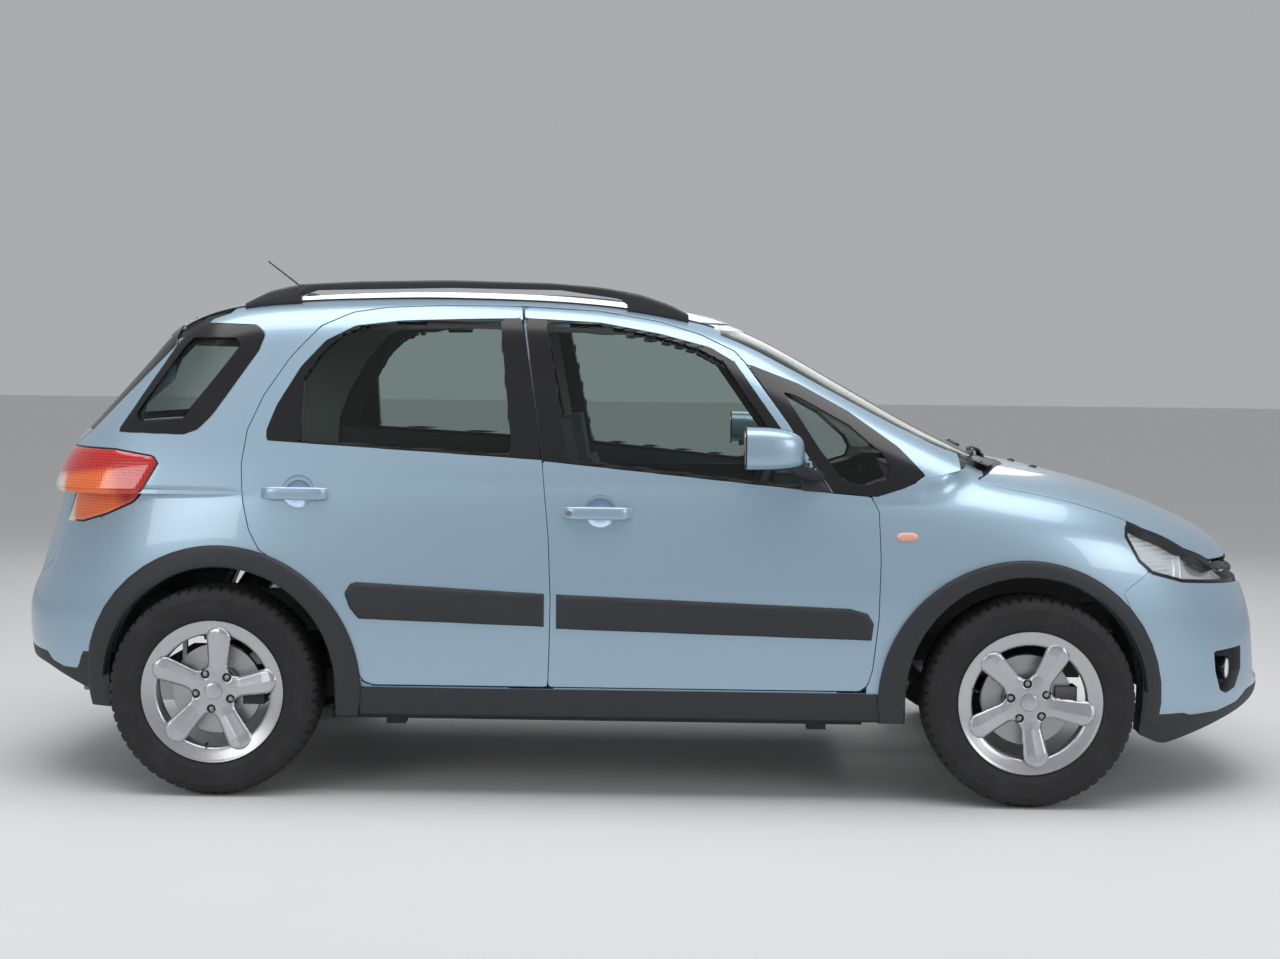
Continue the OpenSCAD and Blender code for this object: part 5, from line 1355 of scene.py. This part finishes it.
class Lamps(bpy.types.Operator):
    """Build headlamps with reflectors and clear lenses, tail lamps and side repeaters"""
    bl_idname = "crossover.lamps"
    bl_label = "Lamps"

    def execute(self, context):
        s, _ = settings()
        for side in SIDES:
            self.headlamp(SIDE_NAME[side], side, s)
            self.tail_lamp(SIDE_NAME[side], side, s)
            self.repeater(SIDE_NAME[side], side)
        return {"FINISHED"}

    def headlamp(self, name, side, s):
        """Black edge, clear lens, and a reflector with a round bowl, a small one, ribs and a ridge."""
        front = end_chart(FRONT_MIDDLE, -74, -15, 645, 900, size=5, count=150)
        x, y, z = axes(front)
        keep = within(outside(x, z, HEADLAMP) + 1.2, s.shut / 2 - outside(x, y, BONNET), 471 + y)
        bowl = np.hypot((x - 1790) / 1.25, z - 742) / 52
        well = np.hypot(x - 1880, z - 705) / 34
        ribs = 2.6 * np.sin(z / 2.2) * np.clip((1690 - x) / 30, 0, 1)
        push = (-26 * np.clip(1 - bowl ** 2, 0, 1) - 16 * np.clip(1 - well ** 2, 0, 1) + ribs
                + 14 * np.exp(-((x - 1700) / 9) ** 2))
        skin("headlamp_edge_" + name, front, within(keep, -keep - 9), 30, "gloss_black", "body", side, 0.4)
        plate_sheet("headlamp_lens_" + name, raised(front, 0.6 + 0 * x), keep, 2.2, "lens", "body", side,
                    ("headlamps",))
        deep = end_chart(FRONT_MIDDLE, -74, -15, 645, 900, 34, 5, 150)
        skin("headlamp_reflector_" + name, raised(deep, push), keep + 1, 6, "reflector", "body", side, 0.5)
        ahead = np.array([0.75, -0.66, 0.0])
        bulbs = []
        for bx, bz, r in ((1790, 742, 15), (1885, 704, 9)):
            start = np.array([bx + SHIFT - 34, -float(half(bx - 30.0, float(bz), 34.0)) - 2, bz])
            bulbs.append(sweep([start + ahead * k for k in (0, 12, 24, 27)], oval(r, r, 2, 24),
                               [1, 1, 0.75, 0.1]))
        solid_piece("headlamp_bulbs_" + name, bulbs, "chrome", "body", side, 30)

    def tail_lamp(self, name, side, s):
        """A black gasket and a crowned lens inside it."""
        rear = end_chart(REAR_MIDDLE, 196, 258, 812, 1080, size=6, count=130)
        x, y, z = axes(rear)
        keep = within(outside(x, z, TAIL_LAMP) + 0.8, s.shut / 2 - outside(y, z, TAILGATE))
        skin("tail_lamp_gasket_" + name, rear, keep, 10, "gloss_black", "body", side, 0.4, 0.6)
        lens = raised(rear, 1.0 + crown(keep + 5, 5.5, 16))
        plate_sheet("tail_lamp_lens_" + name, lens, keep + 5, 3, "red_lens", "body", side)

    def repeater(self, name, side):
        """A small crowned oval lens on the wing."""
        along, up = np.cos(turns(40)), np.sin(turns(40))
        outline = np.stack([REPEATER[0] + 33 * np.sign(along) * np.abs(along) ** 0.8,
                            REPEATER[1] + 13 * np.sign(up) * np.abs(up) ** 0.8], -1)
        patch = side_chart(REPEATER[0] - 40, REPEATER[0] + 40, REPEATER[1] - 20, REPEATER[1] + 20, 3)
        d = outside(patch[..., 0], patch[..., 2], outline)
        plate_sheet("side_repeater_" + name, raised(patch, 1.0 + crown(d, 6, 12)), d, 3, "repeater", "body",
                    side)


FOG = [(1800, 463), (1915, 468), (1917, 395), (1891, 338), (1854, 324), (1829, 337), (1808, 400)]
# Openings of the grilles: lower and upper edge and half width
INTAKES = {"upper": (655, 795, 430), "lower": (340, 510, 420)}
GRILLE_BARS = [(663, 428, 8), (698, 424, 7), (733, 418, 7), (349, 417, 8), (388, 417, 8), (426, 416, 8),
               (464, 416, 8), (502, 414, 7)]


def nose_point(y, z):
    """Where a level ray forwards from inside meets the nose."""
    return cast(np.array([[FRONT_MIDDLE, y, z]], float), AHEAD, 0, 1200)[0] + [SHIFT, 0, 0]


class FrontEnd(bpy.types.Operator):
    """Build the front bumper cover with its openings, the grille bars, fog lamps and both plates"""
    bl_idname = "crossover.front_end"
    bl_label = "Front end"

    def execute(self, context):
        s, _ = settings()
        front = end_chart(FRONT_MIDDLE, -80, 80, 240, 800, size=7, count=300)
        x, y, z = axes(front)
        fog = outside(x, z, FOG)
        keep = within(outside(x, z, FRONT_BUMPER) + s.seam / 2, s.seam / 2 - outside(x, z, HEADLAMP),
                      s.shut / 2 - outside(x, y, BONNET), -beyond(front, ARCH_FRONT),
                      height(VALANCE_EDGE, x) + 0.8 - z, -fog)
        for low, high, wide in INTAKES.values():
            q = np.stack([np.abs(y) - wide + 30, np.abs(z - (low + high) / 2) - (high - low) / 2 + 30])
            hole = np.hypot(*np.maximum(q, 0)) + np.minimum(np.maximum(q[0], q[1]), 0) - 30
            keep = within(keep, -hole)
        plate_sheet("front_bumper_cover", front, keep, 9, "paint", hides=("front_bumper",), lift=s.lift)
        self.grille()
        for side in SIDES:
            self.fog_lamp(SIDE_NAME[side], side, front, fog)
        x = nose_point(0, 575)[0]
        self.plate("blank_plate_front", "body", (x - 6, x + 1.5), 575, 150, 42)
        x = cast(np.array([[-FRONT_MIDDLE, 0.0, 835.0]]), -AHEAD, 0, 1200)[0][0] + SHIFT
        self.plate("blank_plate_rear", "tailgate", (x + 14, x - 1.5), 835, 165, 43)
        return {"FINISHED"}

    def grille(self):
        """Bars that follow the nose a little inside it, and a dark backing behind each opening."""
        parts = []
        for z, wide, tall in GRILLE_BARS:
            y = np.linspace(-wide, wide, 61)
            p = cast(np.stack([np.full_like(y, FRONT_MIDDLE), y, np.full_like(y, z)], -1), AHEAD, 0, 1200)
            parts.append(sweep(p + [SHIFT - 16, 0, 0], oval(9, tall, 2.6, 16)))
        solid_piece("grille_bars", parts, "trim", sharp=50, hides=("grille",))
        for label, z0, z1, wide in (("upper", 650, 765, 436), ("lower", 336, 514, 424)):
            back = end_chart(FRONT_MIDDLE, -26, 26, z0, z1, 52, 12, 60)
            skin("grille_backing_" + label, back, np.abs(back[..., 1]) - wide, 30, "mesh", curl=-20)

    def fog_lamp(self, name, side, front, fog):
        """A recess that falls in from the outline, and a round lamp that looks a little outwards."""
        keep = within(fog - 1.5, front[..., 1] + 450)
        skin("fog_recess_" + name, raised(front, 0.2 - 40 * eased(-fog / 14)), keep, 4, "trim", "body",
             side, 0.3)
        ahead = np.array([0.9, -0.43, 0.0])
        ahead /= np.linalg.norm(ahead)
        start = nose_point(-585, 402) - ahead * 42
        tube = sweep([start + ahead * k for k in (0, 16, 30, 33)], oval(36, 36, 2, 40),
                     [1.0, 1.02, 1.06, 1.0])
        solid_piece("fog_lamp_body_" + name, [tube], "gloss_black", "body", side, 40)
        lens = sweep([start + ahead * k for k in (33, 35, 37)], oval(31, 31, 2, 40), [1.0, 0.9, 0.3])
        solid_piece("fog_lamp_lens_" + name, [lens], "reflector", "body", side, 40)

    def plate(self, name, body, stations, z, wide, tall):
        """A blank plate: a rounded rectangle carried between two stations."""
        board = sweep([[x, 0, z] for x in stations], oval(wide, tall, 8, 40))
        solid_piece(name, [board], "plate", body, sharp=30)


RAIL = [(-1262, 1519), (-1176, 1562), (-1081, 1583), (-891, 1594), (-607, 1600), (-291, 1594), (-134, 1582),
        (-8, 1561), (87, 1529), (150, 1497)]
RAIL_UNDER = [(-1081, 1545), (-1030, 1564), (-606, 1575), (-260, 1571), (-70, 1545), (-48, 1526)]
AERIAL = (-1159.5, 0, 1541)


def over(x, y):
    """Points of the roof above a line of stations."""
    return cast(np.stack([x, np.full_like(x, y), np.full_like(x, 1300)], -1), UP, 0, 400)


def mound(place, long, wide, tall, power, rows, count, lean=0.0):
    """A small mound: level rounded loops that draw in as they rise."""
    loops = []
    for share in np.linspace(0, 1, rows):
        size = math.sqrt(max(1 - share ** power, 0.002))
        loop = oval(long * size, wide * size, power, count)
        loops.append(np.stack([place[0] + loop[:, 0] + lean * share, place[1] + loop[:, 1],
                               np.full(count, place[2] + tall * share)], -1))
    return loft(loops)


class RoofFittings(bpy.types.Operator):
    """Build the roof rails, the ditch mouldings and the aerial"""
    bl_idname = "crossover.roof_fittings"
    bl_label = "Roof fittings"

    def execute(self, context):
        x = np.concatenate([np.linspace(-1258, -1082, 14), np.linspace(-1080, -49, 60),
                            np.linspace(-47, 146, 16)])
        top = height(RAIL, x)
        for _ in range(2):
            top[1:-1] = (top[:-2] + 2 * top[1:-1] + top[2:]) / 4
        roof = over(x, -CANT_HALF)[:, 2] - 3
        low = np.where((x > -1081) & (x < -48), np.maximum(height(RAIL_UNDER, x), roof), roof)
        low = np.minimum(low, top - 3)
        places = np.stack([x + SHIFT, np.full_like(x, -CANT_HALF), (top + low) / 2], -1)
        rail = loft([across_loop(place, oval(14.5, tall, 3.4, 20)) for place,
                     tall in zip(places, (top - low) / 2)])
        ditch = sweep(over(np.linspace(-1455, 228, 90), -541) + [SHIFT, 0, 0.6], oval(7, 3.2, 3, 12))
        for side in SIDES:
            name = SIDE_NAME[side]
            solid_piece("roof_rail_" + name, [rail], "rail", "body", side, 50, ("roof_rails",))
            solid_piece("roof_moulding_" + name, [ditch], "rubber_seal", "body", side, 50)
        share = np.linspace(0, 1, 30)
        rod = np.array(AERIAL) + [0, 0, 19] + share[:, None] * [-162.5, 0, 123]
        winding = np.where(np.arange(30) % 2, 0.86, 1.0)
        rod = sweep(rod, oval(3.3, 3.3, 2, 12), winding * np.linspace(1.05, 0.8, 30))
        solid_piece("aerial", [mound(AERIAL, 36, 14, 34, 2.2, 12, 28, -6), rod], "trim", sharp=60)
        return {"FINISHED"}


def on_glass(y, z, out):
    """Points on the windscreen, moved outwards."""
    y, z = np.asarray(y, float), np.asarray(z, float)
    p = cast(np.stack([np.full_like(y, -300), y, z], -1), AHEAD, 0, 2400, 0.0, half_high)
    return p + [SHIFT + out * 0.5, 0, out * 0.85]


class CowlAndWipers(bpy.types.Operator):
    """Build the cowl grille, the windscreen wipers and the washer nozzles"""
    bl_idname = "crossover.cowl_and_wipers"
    bl_label = "Cowl and wipers"

    def execute(self, context):
        parts = []
        share = np.linspace(0, 1, 30)
        for pivot, y_far, z_far in ((430, -150, 1075), (-110, -590, 1068)):
            bow = 5 * np.sin(np.pi * share)
            blade = on_glass(np.linspace(pivot - 20, y_far, 30), np.linspace(1062, z_far, 30) + bow, 6)
            parts.append(sweep(blade, oval(3.5, 7, 2.5, 12),
                               np.interp(share, [0, 0.1, 0.9, 1], [0.5, 1, 1, 0.5])))
            middle = blade[15]
            foot = on_glass([pivot], [1040], 4)[0]
            arm = smooth_path([foot, foot * 0.6 + middle * 0.4 + [4, 0, 12], middle + [0, 0, 7]], 18)
            parts.append(sweep(arm, oval(7, 5, 2.6, 12), np.linspace(1.4, 0.7, 18)))
            parts.append(sweep([foot + [-4, 0, -8], foot + [2, 0, 4], foot + [5, 0, 10]],
                               oval(15, 15, 2, 20), [1, 1, 0.6], up=(0, 1, 0)))
        solid_piece("wipers", parts, "trim", sharp=50)
        deck = top_chart(865, 1235, -638, 638, 14, 6.0, form=half_low)
        x, y, _ = axes(deck)
        wave = 1.2 * np.clip(np.sin(y / 5.0), 0, 1) * (np.abs(y) < 560)
        skin("cowl_deck", raised(deck, 0.4 + wave), within(3 - outside(x, y, BONNET), 900 - x), 6, "trim",
             curl=0.5)
        nozzles = []
        for y in (-215, 215):
            place = cast(np.array([[1300.0, y, 700.0]]), UP, 0, 900)[0] + [SHIFT, 0, -1]
            nozzles.append(mound(place, 15, 9, 9, 2.4, 8, 20))
        solid_piece("washer_nozzles", nozzles, "trim", "bonnet", sharp=60)
        return {"FINISHED"}


class Studio(bpy.types.Operator):
    """Set up the floor, the lamps and the camera at the photograph's viewing angle"""
    bl_idname = "crossover.studio"
    bl_label = "Studio"

    def execute(self, context):
        s, _ = settings()
        scene = context.scene
        size = 60000.0
        floor = mesh_object("studio_floor", [[-size, -size, -0.5], [size, -size, -0.5], [size, size, -0.5],
                                             [-size, size, -0.5]], [[0, 1, 2, 3]])
        floor.data.materials.append(finish("floor"))
        world = bpy.data.worlds.new("studio_world")
        scene.world = world
        world.use_nodes = True
        tree = world.node_tree
        tree.nodes["Background"].inputs[0].default_value = (0.80, 0.82, 0.85, 1)
        tree.nodes["Background"].inputs[1].default_value = 0.5

        def lamp(name, place, aim, width, height, power):
            """A lit rectangle that faces a point."""
            data = bpy.data.lights.new(name, "AREA")
            data.shape = "RECTANGLE"
            data.size, data.size_y, data.energy = width, height, power
            obj = bpy.data.objects.new(name, data)
            obj.location = place
            obj.rotation_euler = (Vector(aim) - Vector(place)).to_track_quat("-Z", "Y").to_euler()
            scene.collection.objects.link(obj)

        lamp("lamp_overhead", (0, -1.0, 4.6), (0, 0, 0.8), 7.0, 3.5, s.key_light)
        lamp("lamp_front", (5.5, -4.5, 2.6), (0.5, 0, 0.8), 2.5, 2.5, s.key_light * 0.35)
        lamp("lamp_side", (-4.5, -5.5, 2.4), (-0.5, 0, 0.8), 3.0, 2.0, s.key_light * 0.3)
        lamp("lamp_back", (0, 6.0, 3.6), (0, 0, 0.9), 6.0, 2.5, s.key_light * 0.5)
        camera = bpy.data.cameras.new("photo_camera")
        camera.lens = 53.21
        camera.sensor_width = 36.0
        camera.clip_end = 200.0
        yaw, pitch, roll = (math.radians(v) for v in (1.348, 3.505, 0.599))
        ahead = Vector((-math.sin(yaw), math.cos(yaw), 0))
        across = Vector((math.cos(yaw), math.sin(yaw), 0))
        up = Vector((0, 0, 1))
        look = ahead * math.cos(pitch) - up * math.sin(pitch)
        rise = up * math.cos(pitch) + ahead * math.sin(pitch)
        right = across * math.cos(roll) + rise * math.sin(roll)
        top = rise * math.cos(roll) - across * math.sin(roll)
        matrix = Matrix((right, top, -look)).transposed().to_4x4()
        matrix.translation = Vector((0.1282, -6.5578, 1.3426))
        eye = bpy.data.objects.new("photo_camera", camera)
        eye.matrix_world = matrix
        scene.collection.objects.link(eye)
        scene.camera = eye
        scene.view_settings.view_transform = "Standard"
        return {"FINISHED"}


class CrossoverPanel(bpy.types.Panel):
    """Lists the operators in the order that builds the car"""
    bl_idname = "VIEW3D_PT_crossover"
    bl_label = "Crossover"
    bl_space_type = "VIEW_3D"
    bl_region_type = "UI"
    bl_category = "Crossover"

    def draw(self, context):
        for operator in OPERATORS:
            self.layout.operator(operator.bl_idname)


OPERATORS = (Studio, FrameFinishes, DoorSkins, BodySkins, Windows, Wheels, Tyres, Cladding,
             DoorFittings, Lamps, FrontEnd, RoofFittings, CowlAndWipers)
CLASSES = (CrossoverColours, CrossoverSizes) + OPERATORS + (CrossoverPanel,)


def register():
    for cls in CLASSES:
        bpy.utils.register_class(cls)
    bpy.types.Scene.crossover_colours = bpy.props.PointerProperty(type=CrossoverColours)
    bpy.types.Scene.crossover_sizes = bpy.props.PointerProperty(type=CrossoverSizes)


def unregister():
    del bpy.types.Scene.crossover_sizes
    del bpy.types.Scene.crossover_colours
    for cls in reversed(CLASSES):
        bpy.utils.unregister_class(cls)


def plain(bounds):
    """Bounds as lists of numbers."""
    return [[float(v) for v in corner] for corner in bounds]


def main():
    register()
    for operator in OPERATORS:
        group, name = operator.bl_idname.split(".")
        getattr(getattr(bpy.ops, group), name)()


if __name__ == "__main__":
    main()
